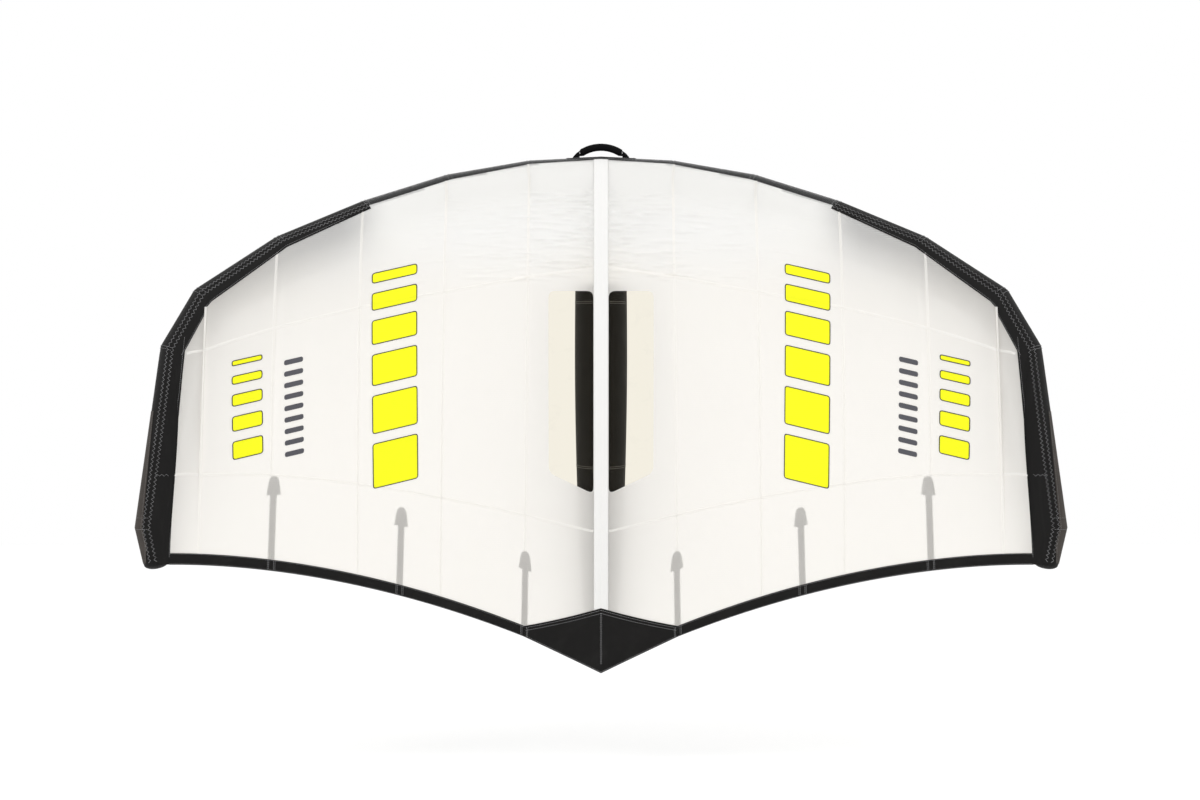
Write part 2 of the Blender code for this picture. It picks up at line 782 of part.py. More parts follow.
def pipe(name, points, radius, finish, cyclic=False, resolution=3):
    """A round bar along points, with filled caps."""
    curve = bpy.data.curves.new(name, "CURVE")
    curve.dimensions = "3D"
    curve.bevel_depth = radius
    curve.bevel_resolution = resolution
    curve.render_resolution_u = 0
    curve.use_fill_caps = not cyclic
    spline = curve.splines.new("POLY")
    spline.points.add(len(points) - 1)
    for slot, point in zip(spline.points, points):
        slot.co = (*point, 1)
    spline.use_cyclic_u = cyclic
    spline.use_smooth = True
    return add(name, curve, finish)


def plate(name, outlines, thickness, seat, finish=None):
    """Flat outlines in the seat's XY plane, the first one outside and the others holes."""
    curve = bpy.data.curves.new(name, "CURVE")
    curve.dimensions = "2D"
    curve.fill_mode = "BOTH"
    curve.extrude = thickness / 2
    curve.render_resolution_u = 0
    for outline in outlines:
        spline = curve.splines.new("POLY")
        spline.points.add(len(outline) - 1)
        for slot, point in zip(spline.points, outline):
            slot.co = (point[0], point[1], 0, 1)
        spline.use_cyclic_u = True
    made = add(name, curve, finish)
    made.matrix_basis = seat
    return made


def circle(radius, count, centre=(0, 0), start=0, sweep=360):
    """Points on a circle or an arc of it."""
    steps = count if sweep == 360 else count - 1
    angles = [math.radians(start + sweep * step / steps) for step in range(count)]
    return [(centre[0] + radius * math.cos(a), centre[1] + radius * math.sin(a)) for a in angles]


def tab(name, seat, radius, bore, half_width, finish):
    """A folded tab on a skin: an eye whose bore runs along the seat's X axis."""
    outline = [(-radius, -radius), (radius, -radius)] + circle(radius, 11, start=0, sweep=180)
    turn = Matrix.Rotation(math.radians(90), 4, "Z") @ Matrix.Rotation(math.radians(90), 4, "X")
    return plate(name, [outline, circle(bore, 16)], 2 * half_width, seat @ turn, finish)


def handle_pivot(eye, pitch):
    """Middle of the line that the leading edge handle turns on, one eye's radius off its patch."""
    lift = SEAT_GAP + PATCH_THICKNESS + UNDER_GAP + eye
    front = LEADING_EDGE.point(LAST_STATION + HANDLE_HALF_SPAN / pitch, 90, lift)
    return Vector((0, front[1], front[2]))


def make_edge_handle():
    """A padded loop whose rolled ends turn in two tabs sewn to the front of the tube."""
    bore = HANDLE_CORE_RADIUS + TAB_CLEARANCE
    eye = bore + TAB_WALL
    pitch = STATION_X_SHARES[1] * HALF_SPAN_LENGTH
    pivot = handle_pivot(eye, pitch)
    FRAME.location = (0, -pivot.y, -HOLD_HEIGHT)
    swing = joint_empty("edge_handle_axis", pivot)
    reach = HANDLE_HALF_SPAN + HANDLE_PATCH_MARGIN
    places = [LAST_STATION + share * reach / pitch for share in (-1, -0.5, 0, 0.5, 1)]
    angles = np.linspace(90 - HANDLE_PATCH_HALF_ANGLE, 90 + HANDLE_PATCH_HALF_ANGLE, 7)
    tube_sheet("edge_handle_patch", LEADING_EDGE, places, angles, SEAT_GAP, PATCH_THICKNESS, BLACK_CLOTH)
    for word, side in SIDES:
        seat = Matrix.Translation(pivot + Vector((side * HANDLE_HALF_SPAN, 0, 0)))
        tab(f"edge_handle_tab_{word}", seat, eye, bore, TAB_HALF_WIDTH, BLACK_CLOTH)
    crown = HOLD_HEIGHT + HANDLE_SLEEVE_RADIUS - pivot.z
    straight = HANDLE_HALF_SPAN - TAB_HALF_WIDTH - HANDLE_CORE_RADIUS

    def arch(x):
        return crown * (1 - min(abs(x) / straight, 1) ** 2) ** HANDLE_ARCH_POWER

    end = HANDLE_HALF_SPAN + TAB_HALF_WIDTH
    steps = [end * math.sin(math.radians(90 * step / 14)) for step in range(-14, 15)]
    core = [pivot + Vector((x, 0, arch(x))) for x in steps]
    hang(pipe("edge_handle_core", core, HANDLE_CORE_RADIUS, BLACK_CLOTH, resolution=2), swing)
    skin, hollow = [], []
    for step in range(-6, 7):
        x = HANDLE_SLEEVE_HALF_LENGTH * step / 6
        slope = (arch(x + bore) - arch(x - bore)) / (2 * bore)
        up = Vector((-slope, 0, 1)).normalized()
        centre = pivot + Vector((x, 0, arch(x)))
        radius = HANDLE_SLEEVE_RADIUS if abs(step) < 6 else HANDLE_SLEEVE_RADIUS * SLEEVE_END_SHARE
        for rings, size in ((skin, radius), (hollow, bore)):
            spokes = circle(size, 12)
            rings.append([centre + up * along + Vector((0, across, 0)) for along, across in spokes])
    hang(add("edge_handle_sleeve", ring_loop_mesh("edge_handle_sleeve", skin, hollow), FOAM), swing)


def ring_loop_mesh(name, outside, inside):
    """A hollow sleeve: its outer skin, its bore and the flat ring at each end."""
    walls = outside + inside[::-1] + outside[:1]
    mesh = grid_mesh(name, walls, closed=True)
    form = bmesh.new()
    form.from_mesh(mesh)
    bmesh.ops.remove_doubles(form, verts=form.verts, dist=SEAT_GAP / 10)
    bmesh.ops.recalc_face_normals(form, faces=form.faces)
    form.to_mesh(mesh)
    form.free()
    return mesh


def rod_profile(radius, top, bottom):
    return [(0, top), (radius, top), (radius, bottom), (0, bottom)]


def box(name, size, seat, finish=None):
    """A box of a size, centred on its seat."""
    mesh = bpy.data.meshes.new(name)
    form = bmesh.new()
    bmesh.ops.create_cube(form, size=1)
    bmesh.ops.scale(form, vec=size, verts=form.verts)
    form.to_mesh(mesh)
    form.free()
    made = add(name, mesh, finish)
    made.matrix_basis = seat
    return made


def tube_cutter(name, tube, stations, gap):
    """A solid a little larger than a tube, to shape what lies on it."""
    flats = TUBE_RADIUS * (1 / math.cos(math.pi / TUBE_SIDES) - 1)
    rings = tube.rings(stations, TUBE_SIDES, gap + flats)
    return add(name, grid_mesh(name, rings, True, True, True))


def drill(piece, name, radius, top, bottom, seat, sides=20):
    cut(piece, turned(name, rod_profile(radius, top, bottom), seat, sides=sides))


def shifted(seat, x=0.0, y=0.0, z=0.0):
    return seat @ Matrix.Translation((x, y, z))


def make_strut_handle(word, shares, clearance):
    """A bent bar in two feet, with a foam grip on its straight length."""
    feet = [STRUT.seat(strut_station(share), 180, 2 * SEAT_GAP + PATCH_THICKNESS) for share in shares]
    tops = [shifted(foot, z=BASE_HEIGHT) for foot in feet]
    starts = [top @ Vector((0, 0, FIT_GAP - SOCKET_DEPTH)) for top in tops]
    peaks = [foot @ Vector((0, 0, BAR_STAND_OFF)) for foot in feet]
    path = rounded([starts[0], peaks[0], peaks[1], starts[1]], BAR_BEND_RADIUS, 6, cyclic=False)
    pipe(f"{word}_handle_bar", path, BAR_RADIUS, METAL)
    line = peaks[1] - peaks[0]
    half = line.length / 2 - BAR_BEND_RADIUS - GRIP_END_MARGIN
    seat = Matrix.Translation((peaks[0] + peaks[1]) / 2) @ line.to_track_quat("Z", "Y").to_matrix().to_4x4()
    bore = BAR_RADIUS + GRIP_CLEARANCE
    ease = GRIP_RADIUS - bore
    profile = [
        (bore, half), (GRIP_RADIUS - ease / 2, half), (GRIP_RADIUS, half - ease),
        (GRIP_RADIUS, ease - half), (GRIP_RADIUS - ease / 2, -half), (bore, -half),
    ]
    turned(f"{word}_handle_grip", profile, seat, FOAM)
    for place, top in zip(("fore", "aft"), tops):
        make_handle_base(f"{word}_handle_{place}_base", top, clearance)


def make_handle_base(name, top, clearance):
    """A foot with a saddle under it, a socket for the bar and a seat for a bolt at each end."""
    size = (BASE_LENGTH, BASE_WIDTH, 2 * BASE_HEIGHT)
    base = box(name, size, shifted(top, z=-BASE_HEIGHT), BLACK_PLASTIC)
    bevel = base.modifiers.new("edges", "BEVEL")
    bevel.width = BASE_BEVEL
    bevel.segments = 2
    cut(base, clearance)
    drill(base, f"{name}_socket", BAR_RADIUS + FIT_GAP, CUT_OVERRUN, -SOCKET_DEPTH, top)
    for end in (-1, 1):
        spot = shifted(top, x=end * BOLT_SPACING / 2)
        drill(base, f"{name}_bolt_{end}", BOLT_SEAT_RADIUS, CUT_OVERRUN, -BOLT_SEAT_DEPTH, spot, 16)


def add_hinge(fixed, moving, seat, ear_inset):
    """A knuckle on the moving piece, its pin in two ears of the fixed one, on the seat's X axis.

    The moving piece lies toward the seat's Y, and the ears go down along its Z to the fixed one.
    """
    turn = Matrix.Rotation(math.radians(90), 4, "Y")
    for end in (-1, 1):
        place = end * (KNUCKLE_HALF + FIT_GAP + EAR_THICKNESS / 2)
        size = (EAR_THICKNESS, 2 * KNUCKLE_RADIUS + ear_inset, KNUCKLE_RADIUS + EAR_DROP)
        spot = shifted(seat, place, ear_inset / 2, (KNUCKLE_RADIUS - EAR_DROP) / 2)
        cut(fixed, box(f"{fixed.name}_ear_{end}", size, spot), "UNION")
    half = KNUCKLE_HALF + FIT_GAP + EAR_THICKNESS
    drill(fixed, f"{fixed.name}_pin_hole", PIN_RADIUS + FIT_GAP, CUT_OVERRUN, -CUT_OVERRUN, seat @ turn, 16)
    knuckle = rod_profile(KNUCKLE_RADIUS, KNUCKLE_HALF, -KNUCKLE_HALF)
    cut(moving, turned(f"{moving.name}_knuckle", knuckle, seat @ turn, sides=16), "UNION")
    pin = rod_profile(PIN_RADIUS, half, -half)
    cut(moving, turned(f"{moving.name}_pin", pin, seat @ turn, sides=12), "UNION")


def make_valve(skins, clearance):
    """A flange on the tube, an insert that turns in it, and a cap that flips up from the insert."""
    seat = LEADING_EDGE.seat(VALVE_STATION + LAST_STATION, VALVE_ANGLE, SEAT_GAP)
    for skin in skins:
        name = f"{skin.name}_valve_hole"
        drill(skin, name, VALVE_BORE_RADIUS + FIT_GAP, CUT_OVERRUN, -CUT_OVERRUN, seat)
    flange = turned("valve_flange", [
        (VALVE_BORE_RADIUS, VALVE_BASE_HEIGHT), (VALVE_BASE_RADIUS - RIM_EASE, VALVE_BASE_HEIGHT),
        (VALVE_BASE_RADIUS, VALVE_BASE_HEIGHT - RIM_EASE), (VALVE_BASE_RADIUS, FLANGE_HEIGHT),
        (FLANGE_RADIUS - RIM_EASE, FLANGE_HEIGHT), (FLANGE_RADIUS, FLANGE_HEIGHT - RIM_EASE),
        (FLANGE_RADIUS, -FLANGE_SKIRT), (VALVE_BORE_RADIUS, -FLANGE_SKIRT),
    ], seat, GREY_PLASTIC)
    cut(flange, clearance)
    low = VALVE_BASE_HEIGHT + FIT_GAP
    top = low + INSERT_RIM_HEIGHT
    insert = turned("valve_insert", [
        (INSERT_BORE_RADIUS, top), (INSERT_RIM_RADIUS - RIM_EASE, top),
        (INSERT_RIM_RADIUS, top - RIM_EASE), (INSERT_RIM_RADIUS, low), (INSERT_RADIUS, low),
        (INSERT_RADIUS, -VALVE_STEM_LENGTH), (INSERT_BORE_RADIUS, -VALVE_STEM_LENGTH),
    ], seat, BLACK_PLASTIC)
    under = top + FIT_GAP
    cap = turned("valve_cap", [
        (0, under + CAP_HEIGHT), (CAP_RADIUS - RIM_EASE, under + CAP_HEIGHT),
        (CAP_RADIUS, under + CAP_HEIGHT - RIM_EASE), (CAP_RADIUS, under), (PLUG_RADIUS, under),
        (PLUG_RADIUS, under - PLUG_DEPTH), (0, under - PLUG_DEPTH),
    ], seat, BLACK_PLASTIC)
    hinge = shifted(seat, y=-CAP_HINGE_REACH, z=under + CAP_HEIGHT / 2)
    lug_reach = CAP_HINGE_REACH - CAP_RADIUS + RIM_EASE
    lug = box("valve_cap_lug", (2 * KNUCKLE_HALF, lug_reach, LUG_THICKNESS), shifted(hinge, y=lug_reach / 2))
    cut(cap, lug, "UNION")
    add_hinge(insert, cap, hinge, 2 * RIM_EASE)
    turn_axis = joint_empty("valve_insert_axis", seat.translation)
    hang(insert, turn_axis)
    cap_axis = joint_empty("valve_cap_axis", hinge.translation)
    hang(cap, cap_axis)
    hang(cap_axis, turn_axis)


def make_port(name, seat, skins, clearance):
    """A flange and stub that a hose end plugs into, over a hole in the skins below it."""
    for skin in skins:
        hole = PORT_HOLE_RADIUS + FIT_GAP
        drill(skin, f"{skin.name}_{name}_hole", hole, CUT_OVERRUN, -CUT_OVERRUN, seat, 16)
    socket = HOSE_RADIUS + FIT_GAP
    port = turned(name, [
        (PORT_HOLE_RADIUS, PORT_FLANGE_HEIGHT), (socket, PORT_FLANGE_HEIGHT),
        (socket, PORT_STUB_HEIGHT), (PORT_STUB_RADIUS, PORT_STUB_HEIGHT),
        (PORT_STUB_RADIUS, PORT_FLANGE_HEIGHT), (PORT_FLANGE_RADIUS, PORT_FLANGE_HEIGHT),
        (PORT_FLANGE_RADIUS, -PORT_SKIRT), (PORT_HOLE_RADIUS, -PORT_SKIRT),
    ], seat, GREY_PLASTIC)
    cut(port, clearance)


def make_hose(edge_skins, strut_skins, edge_clearance, strut_clearance):
    """The hose that fills the strut from the tube, with a port at each end and a clip."""
    first = LEADING_EDGE.seat(HOSE_STATION + LAST_STATION, HOSE_TUBE_ANGLE, SEAT_GAP)
    last = STRUT.seat(strut_station(HOSE_STRUT_SHARE), HOSE_STRUT_ANGLE, SEAT_GAP)
    make_port("edge_hose_port", first, edge_skins, edge_clearance)
    make_port("strut_hose_port", last, strut_skins, strut_clearance)
    bottom = PORT_FLANGE_HEIGHT + FIT_GAP
    inner = [seat @ Vector((0, 0, bottom)) for seat in (first, last)]
    outer = [seat @ Vector((0, 0, PORT_STUB_HEIGHT)) for seat in (first, last)]
    pulls = [(seat.to_3x3() @ Vector((0, 0, 1))) * HOSE_PULL for seat in (first, last)]
    run = []
    for u in np.linspace(0, 1, 15):
        ease = 3 * u ** 2 - 2 * u ** 3
        bow = pulls[0] * (u * (1 - u) ** 2) + pulls[1] * (u ** 2 * (1 - u))
        run.append(outer[0] * (1 - ease) + outer[1] * ease + bow)
    pipe("inflation_hose", [inner[0], *run, inner[1]], HOSE_RADIUS, HOSE)
    middle = len(run) // 2
    along = (run[middle + 1] - run[middle - 1]).normalized()
    turn = along.to_track_quat("Y", "Z").to_matrix().to_4x4()
    make_clip(Matrix.Translation(run[middle]) @ turn)


def make_clip(seat):
    """A block round the hose, with a lever hinged at one end of its top."""
    width = 2 * (HOSE_RADIUS + CLIP_WALL)
    body = box("hose_clip_body", (width, CLIP_LENGTH, width), seat, BLACK_PLASTIC)
    along = seat @ Matrix.Rotation(math.radians(90), 4, "X")
    drill(body, "clip_bore", HOSE_RADIUS + CLIP_GAP, CUT_OVERRUN, -CUT_OVERRUN, along)
    lift = width / 2 + FIT_GAP + LEVER_THICKNESS / 2
    hinge = shifted(seat, y=FIT_GAP - CLIP_LENGTH / 2 - KNUCKLE_RADIUS, z=lift)
    size = (LEVER_WIDTH / 2, LEVER_LENGTH, LEVER_THICKNESS)
    lever = box("hose_clip_lever", size, shifted(hinge, y=LEVER_LENGTH / 2), GREY_PLASTIC)
    add_hinge(body, lever, hinge, RIM_EASE)
    hang(lever, joint_empty("hose_clip_axis", hinge.translation))


def make_leash_loop():
    """A ring that swings in a tab on the tube's underside."""
    bore = RING_WIRE_RADIUS + TAB_CLEARANCE
    eye = bore + TAB_WALL
    seat = LEADING_EDGE.seat(LEASH_STATION + LAST_STATION, LEASH_ANGLE, SEAT_GAP + eye)
    tab("leash_tab", seat, eye, bore, TAB_HALF_WIDTH, BLACK_CLOTH)
    bar = [(-RING_HALF_WIDTH, 0), (0, 0), (RING_HALF_WIDTH, 0)]
    corner = RING_HALF_WIDTH
    bow = circle(corner, 11, (0, RING_REACH - corner), 0, 180)
    path = [seat @ Vector((x, 0, z)) for x, z in bar + bow]
    ring = pipe("leash_ring", path, RING_WIRE_RADIUS, STEEL, cyclic=True, resolution=2)
    hang(ring, joint_empty("leash_ring_axis", seat.translation))


def make_battens():
    """Thin battens between the canopy and the pockets sewn under it, on both sides."""
    level = -UNDER_GAP - BATTEN_THICKNESS
    for number, (station, length) in enumerate(zip(BATTEN_STATIONS, BATTEN_LENGTHS), 1):
        step = SHORT_STEP
        near, far = (canopy_point(station + offset, band_share(station))[0] for offset in (-step, step))
        pitch = (far - near) / (2 * step)
        rows = pocket_rows(station, length)
        for word, side in SIDES:
            name = f"batten_{number}_{word}"
            spine = [(share, BATTEN_WIDTH) for share, _ in rows[1:]]
            points = strip_points(side * station, pitch, spine, level)
            solidify(add(name, grid_mesh(name, points, flip=True), BATTEN), BATTEN_THICKNESS, 1)
            name = f"batten_pocket_{number}_{word}"
            points = strip_points(side * station, pitch, rows, level - POCKET_GAP - POCKET_THICKNESS)
            solidify(add(name, grid_mesh(name, points, flip=True), CREAM), POCKET_THICKNESS, 1)


def pocket_rows(station, length):
    """Shares and widths down a pocket: a bullet-shaped head, then a narrow sleeve to the edge."""
    start = 1 - length / section_length(station)
    head = POCKET_HEAD_LENGTH / section_length(station)
    return [
        (start - head / 4, POCKET_HEAD_WIDTH * POCKET_NOSE_SHARE),
        (start, POCKET_HEAD_WIDTH * POCKET_SHOULDER_SHARE),
        (start + head / 2, POCKET_HEAD_WIDTH),
        (start + head, POCKET_WIDTH),
        (start + (1 - start) / 2, POCKET_WIDTH),
        (start + (1 - start) * 3 / 4, POCKET_WIDTH),
        (1.0, POCKET_WIDTH),
    ]


def strip_points(station, pitch, rows, level):
    """Three points across a strip under the canopy for each of its rows of share and width."""
    points = []
    for share, width in rows:
        places = [station + width * across / 2 / pitch for across in (-1, 0, 1)]
        points.append([canopy_point(place, share) + level * canopy_normal(place, share) for place in places])
    return points


def main():
    make_canopy()
    casing, bladder = make_edge_tube()
    strut, strut_bladder = make_strut()
    make_battens()
    near = edge_stations(-2, 2)
    length = strut_stations(STRUT_START_SHARE, STRUT_END_SHARE)
    tube_clearance = tube_cutter("tube_clearance", LEADING_EDGE, near, SEAT_GAP)
    strut_clearance = tube_cutter("strut_clearance", STRUT, length, SEAT_GAP)
    patch_clearance = tube_cutter("patch_clearance", STRUT, length, 2 * SEAT_GAP + PATCH_THICKNESS)
    cut(strut, tube_clearance)
    make_edge_handle()
    make_strut_handle("front", FRONT_HANDLE_SHARES, patch_clearance)
    make_strut_handle("rear", REAR_HANDLE_SHARES, patch_clearance)
    margin = HANDLE_PATCH_MARGIN_SHARE
    stations = strut_stations(FRONT_HANDLE_SHARES[0] - margin, REAR_HANDLE_SHARES[1] + margin)
    angles = np.linspace(180 - STRUT_PATCH_HALF_ANGLE, 180 + STRUT_PATCH_HALF_ANGLE, 11)
    tube_sheet("strut_handle_patch", STRUT, stations, angles, SEAT_GAP, PATCH_THICKNESS, GREY_CLOTH)
    make_valve((casing, bladder), tube_clearance)
    make_hose((casing, bladder), (strut, strut_bladder), tube_clearance, strut_clearance)
    make_leash_loop()


main()
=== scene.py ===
"""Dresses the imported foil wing: cloth, seams, stitching, film and fittings, over a plain floor.

All sizes are in metres. The cloth follows the same plan as the CAD: stations along the leading
edge tube, and shares of each section from its joint with the tube to the trailing edge.
"""
import math

import bmesh
import bpy
import numpy as np
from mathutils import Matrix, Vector


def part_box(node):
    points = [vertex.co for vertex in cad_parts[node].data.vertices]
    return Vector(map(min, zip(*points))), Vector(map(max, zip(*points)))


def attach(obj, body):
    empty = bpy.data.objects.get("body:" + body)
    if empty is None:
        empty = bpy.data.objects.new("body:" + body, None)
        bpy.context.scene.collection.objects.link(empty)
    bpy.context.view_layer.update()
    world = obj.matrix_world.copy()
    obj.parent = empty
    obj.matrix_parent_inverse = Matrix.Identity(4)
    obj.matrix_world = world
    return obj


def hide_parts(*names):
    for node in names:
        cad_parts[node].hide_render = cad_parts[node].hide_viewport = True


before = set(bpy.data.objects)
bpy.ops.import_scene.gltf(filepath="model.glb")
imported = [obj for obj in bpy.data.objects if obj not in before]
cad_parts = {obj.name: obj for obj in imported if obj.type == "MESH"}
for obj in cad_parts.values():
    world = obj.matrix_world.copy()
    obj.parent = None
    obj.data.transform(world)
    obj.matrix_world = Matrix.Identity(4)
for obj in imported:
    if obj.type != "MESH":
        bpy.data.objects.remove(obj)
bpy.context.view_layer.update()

# Plan of the wing, as the CAD has it
PLACE = np.array((0, 0.00604, -0.1196))
HALF_SPAN = 1.453
CHORD = 1.684
RISE = 0.400
TUBE_RADIUS = 0.100
STATION_X_SHARES = (0, 0.1551, 0.3301, 0.5070, 0.6873, 0.8471, 0.9094, 0.9686, 0.9540)
STATION_Z_SHARES = (0, -0.0058, -0.0315, -0.0794, -0.1440, -0.2341, -0.3244, -0.6471, -0.7134)
STATION_RISE_SHARES = (0, 0.045, 0.17, 0.36, 0.59, 0.82, 0.915, 1, 1)
STATION_RADIUS_SHARES = (1, 0.97, 0.92, 0.85, 0.76, 0.66, 0.60, 0.45, 0.40)
LAST_STATION = 8
BLACK_STATION = 3
TIP_STATION = 6
JOINT_ANGLES = (60, 55, 47, 43, 42, 28, 17, 0, 0)
LEAVE_ANGLES = (20, 20, 20, 20, 18, 15, 8, -5, -10)
TRAILING_X_SHARES = (0, 0.172, 0.357, 0.536, 0.719, 0.865, 0.924, 0.931, 0.937)
TAIL_STEP = 0.122
TRAILING_SWEEP = 0.258
TRAILING_FLAT_SHARE = 0.943
TRAILING_CURVE_POWER = 1.8
TRAILING_LIFT_SHARE = 1.21
RISE_POWER = 1.6
CHORDWISE_SHARES = (1, 1, 1, 1, 1, 0.95, 0.76, 0.4, 0)
START_PULL_SHARE = 0.80
END_PULL_SHARE = 0.75
END_DROP_SHARE = 0.17
FRONT_SEAM_SHARES = (0.219, 0.247, 0.269, 0.273, 0.272, 0.220, 0.056)
REAR_SEAM_SHARES = (0.725, 0.741, 0.743, 0.733, 0.712, 0.670, 0.589)
TAIL_APEX_SHARE = 0.871
STRIP_WIDTHS = ((3, 0.016), (4, 0.033), (4.93, 0.0465), (5.07, 0.068), (6, 0.064))
BAND_WIDTH = 0.036
CENTRE_TAPE_WIDTH = 0.047
WRAP_GAP = 0.0010
WINDOW_INNER_X = 0.0245
WINDOW_OUTER_X = 0.1685
WINDOW_TOP_Z = -0.3435
WINDOW_OUTER_BOTTOM_Z = -0.927
WINDOW_INNER_BOTTOM_Z = -0.996
WINDOW_CORNER_RADIUS = 0.022
TIP_DOME_DEPTH = 0.018
STRUT_RADIUS = 0.085
STRUT_FRONT_RADIUS = 0.074
STRUT_TAIL_RADIUS = 0.027
STRUT_WIDEST_SHARE = 0.40
STRUT_TAPER_POWER = 1.7
STRUT_START_SHARE = 0.055
STRUT_END_SHARE = 0.984
STRUT_SECTIONS = 26
UNDER_GAP = 0.0009

# Inner edge of the tip panels: its place at one height, and how far it leans out going down
TIP_EDGE_X, TIP_EDGE_Z, TIP_EDGE_SLOPE = 1.3004, -0.750, 0.0790

# How fine the cloth is, and how far its layers stand off each other
COLUMNS = 30
SHARE_STEPS = 320
WRAP_POINTS, RUN_STEPS = 31, 160
STATION_STEP, SHARE_STEP, NEWTON_STEPS = 0.01, 0.004, 14
BILLOW = 0.0045
BILLOW_START_SHARE = 0.05
BILLOW_END_SHARE = 0.73
CLOTH_LEVEL = 0.0004
TAPE_LEVEL = 0.0009
PRINT_LEVEL = 0.0020
BLACK_LEVEL = 0.0013
THREAD_LEVEL = 0.0017
SIDES = (("left", -1), ("right", 1))


def unit(vectors):
    return vectors / np.linalg.norm(vectors, axis=-1, keepdims=True)


class Tube:
    """A tube of mitred rings. Angle 0 looks toward -Y and 90 degrees to the tube's outer side."""

    def __init__(self, centres, radii):
        self.centres = np.array(centres, float)
        self.radii = radii
        self.frames = [self.frame(index) for index in range(len(centres))]

    def frame(self, index):
        last = len(self.centres) - 1
        before = unit(self.centres[max(index, 1)] - self.centres[max(index, 1) - 1])
        after = unit(self.centres[min(index, last - 1) + 1] - self.centres[min(index, last - 1)])
        along = unit(before + after)
        top = np.array((0, -1, 0))
        top = unit(top - np.dot(top, along) * along)
        turn = after - before
        stretch = 1 / math.sqrt((1 + np.dot(before, after)) / 2) - 1
        bend = unit(turn) if np.linalg.norm(turn) > 1e-6 else top
        return top, np.cross(top, along), bend, stretch

    def ring(self, index, angles, gap):
        top, outer, bend, stretch = self.frames[index]
        turns = np.radians(angles)[..., None]
        spokes = np.cos(turns) * top + np.sin(turns) * outer
        spokes = spokes + stretch * (spokes @ bend)[..., None] * bend
        return self.centres[index] + (self.radii[index] + gap) * spokes

    def point(self, station, angles, gap=0.0):
        angles = np.asarray(angles, float)
        index = min(int(station), len(self.centres) - 2)
        share = station - index
        return (1 - share) * self.ring(index, angles, gap) + share * self.ring(index + 1, angles, gap)

    def seat(self, station, angle, gap):
        """Origin on the skin with its directions: along the tube, across it, and away from it."""
        ends = [self.point(station + step, angle, gap) for step in (-STATION_STEP, STATION_STEP)]
        along = unit(ends[1] - ends[0])
        across = self.point(station, angle + 1, gap) - self.point(station, angle - 1, gap)
        away = unit(np.cross(along, across))
        return self.point(station, angle, gap), along, np.cross(away, along), away


def make_leading_edge():
    half = list(zip(STATION_X_SHARES, STATION_RISE_SHARES, STATION_Z_SHARES))
    right = [PLACE + (x * HALF_SPAN, -rise * RISE, z * CHORD) for x, rise, z in half]
    left = [point * (-1, 1, 1) for point in right[:0:-1]]
    radii = [share * TUBE_RADIUS for share in STATION_RADIUS_SHARES]
    return Tube(left + right, radii[:0:-1] + radii)


EDGE = make_leading_edge()


def at_station(table, station):
    return np.interp(np.abs(station), range(len(table)), table)


def edge_point(station, angle, gap=0.0):
    return EDGE.point(station + LAST_STATION, angle, gap)


def trailing_point(station):
    x = at_station(TRAILING_X_SHARES, station) * HALF_SPAN
    corner = TRAILING_X_SHARES[1] * HALF_SPAN
    flat = TRAILING_FLAT_SHARE * HALF_SPAN
    rise = RISE * TRAILING_LIFT_SHARE * (x / HALF_SPAN) ** RISE_POWER
    z = TUBE_RADIUS - CHORD + TAIL_STEP * min(x / corner, 1)
    if x > corner:
        z += TRAILING_SWEEP * (1 - ((flat - x) / (flat - corner)) ** TRAILING_CURVE_POWER)
    return PLACE + (x, -rise, z)


def leaving_direction(station, leave, start, end):
    square = unit(edge_point(station, leave - 1, WRAP_GAP) - start)
    along = unit(edge_point(station, leave, WRAP_GAP) - edge_point(station - STATION_STEP, leave, WRAP_GAP))
    share = at_station(CHORDWISE_SHARES, station)
    if share == 0:
        return square
    plan = np.array([(square[0], along[0]), (square[2], along[2])])
    weights = np.linalg.solve(plan, (end - start)[[0, 2]])
    chordwise = unit(weights[0] * square + weights[1] * along)
    return unit(share * chordwise + (1 - share) * square)


def section(station):
    """The canopy's underside at a station, in even shares from the joint, and its length."""
    joint, leave = at_station(JOINT_ANGLES, station), at_station(LEAVE_ANGLES, station)
    wrap = edge_point(station, np.linspace(joint, leave, WRAP_POINTS), WRAP_GAP)
    start, end = wrap[-1], trailing_point(station)
    reach = np.linalg.norm(end - start)
    away = unit((end - start) / reach + END_DROP_SHARE * np.array((0, 1, 0)))
    pull = leaving_direction(station, leave, start, end) * reach * START_PULL_SHARE
    hold = away * reach * END_PULL_SHARE
    u = np.linspace(0, 1, RUN_STEPS + 1)[1:, None]
    ease = 3 * u ** 2 - 2 * u ** 3
    run = (1 - ease) * start + ease * end + u * (1 - u) ** 2 * pull - u ** 2 * (1 - u) * hold
    points = np.concatenate((wrap, run))
    lengths = np.concatenate(([0], np.cumsum(np.linalg.norm(np.diff(points, axis=0), axis=1))))
    places = np.linspace(0, lengths[-1], SHARE_STEPS + 1)
    return np.stack([np.interp(places, lengths, points[:, axis]) for axis in range(3)], 1), lengths[-1]


def measure_cloth():
    """Tables of the canopy's points, its outward normals and its section lengths on one half."""
    sections = [section(step / COLUMNS) for step in range(LAST_STATION * COLUMNS + 1)]
    points = np.array([points for points, _ in sections])
    normals = unit(np.cross(np.gradient(points, axis=1), np.gradient(points, axis=0)))
    normals[0, :, 0] = 0
    normals = unit(normals)
    stations = np.arange(len(points)) / COLUMNS
    shares = np.linspace(0, 1, SHARE_STEPS + 1)
    across = np.sin(math.pi * stations) ** 2 * (stations < TIP_STATION)
    down = np.clip((shares - BILLOW_START_SHARE) / (BILLOW_END_SHARE - BILLOW_START_SHARE), 0, 1)
    points = points + BILLOW * (across[:, None] * np.sin(math.pi * down) ** 2)[..., None] * normals
    return points, normals, np.array([length for _, length in sections])


CLOTH, NORMALS, LENGTHS = measure_cloth()


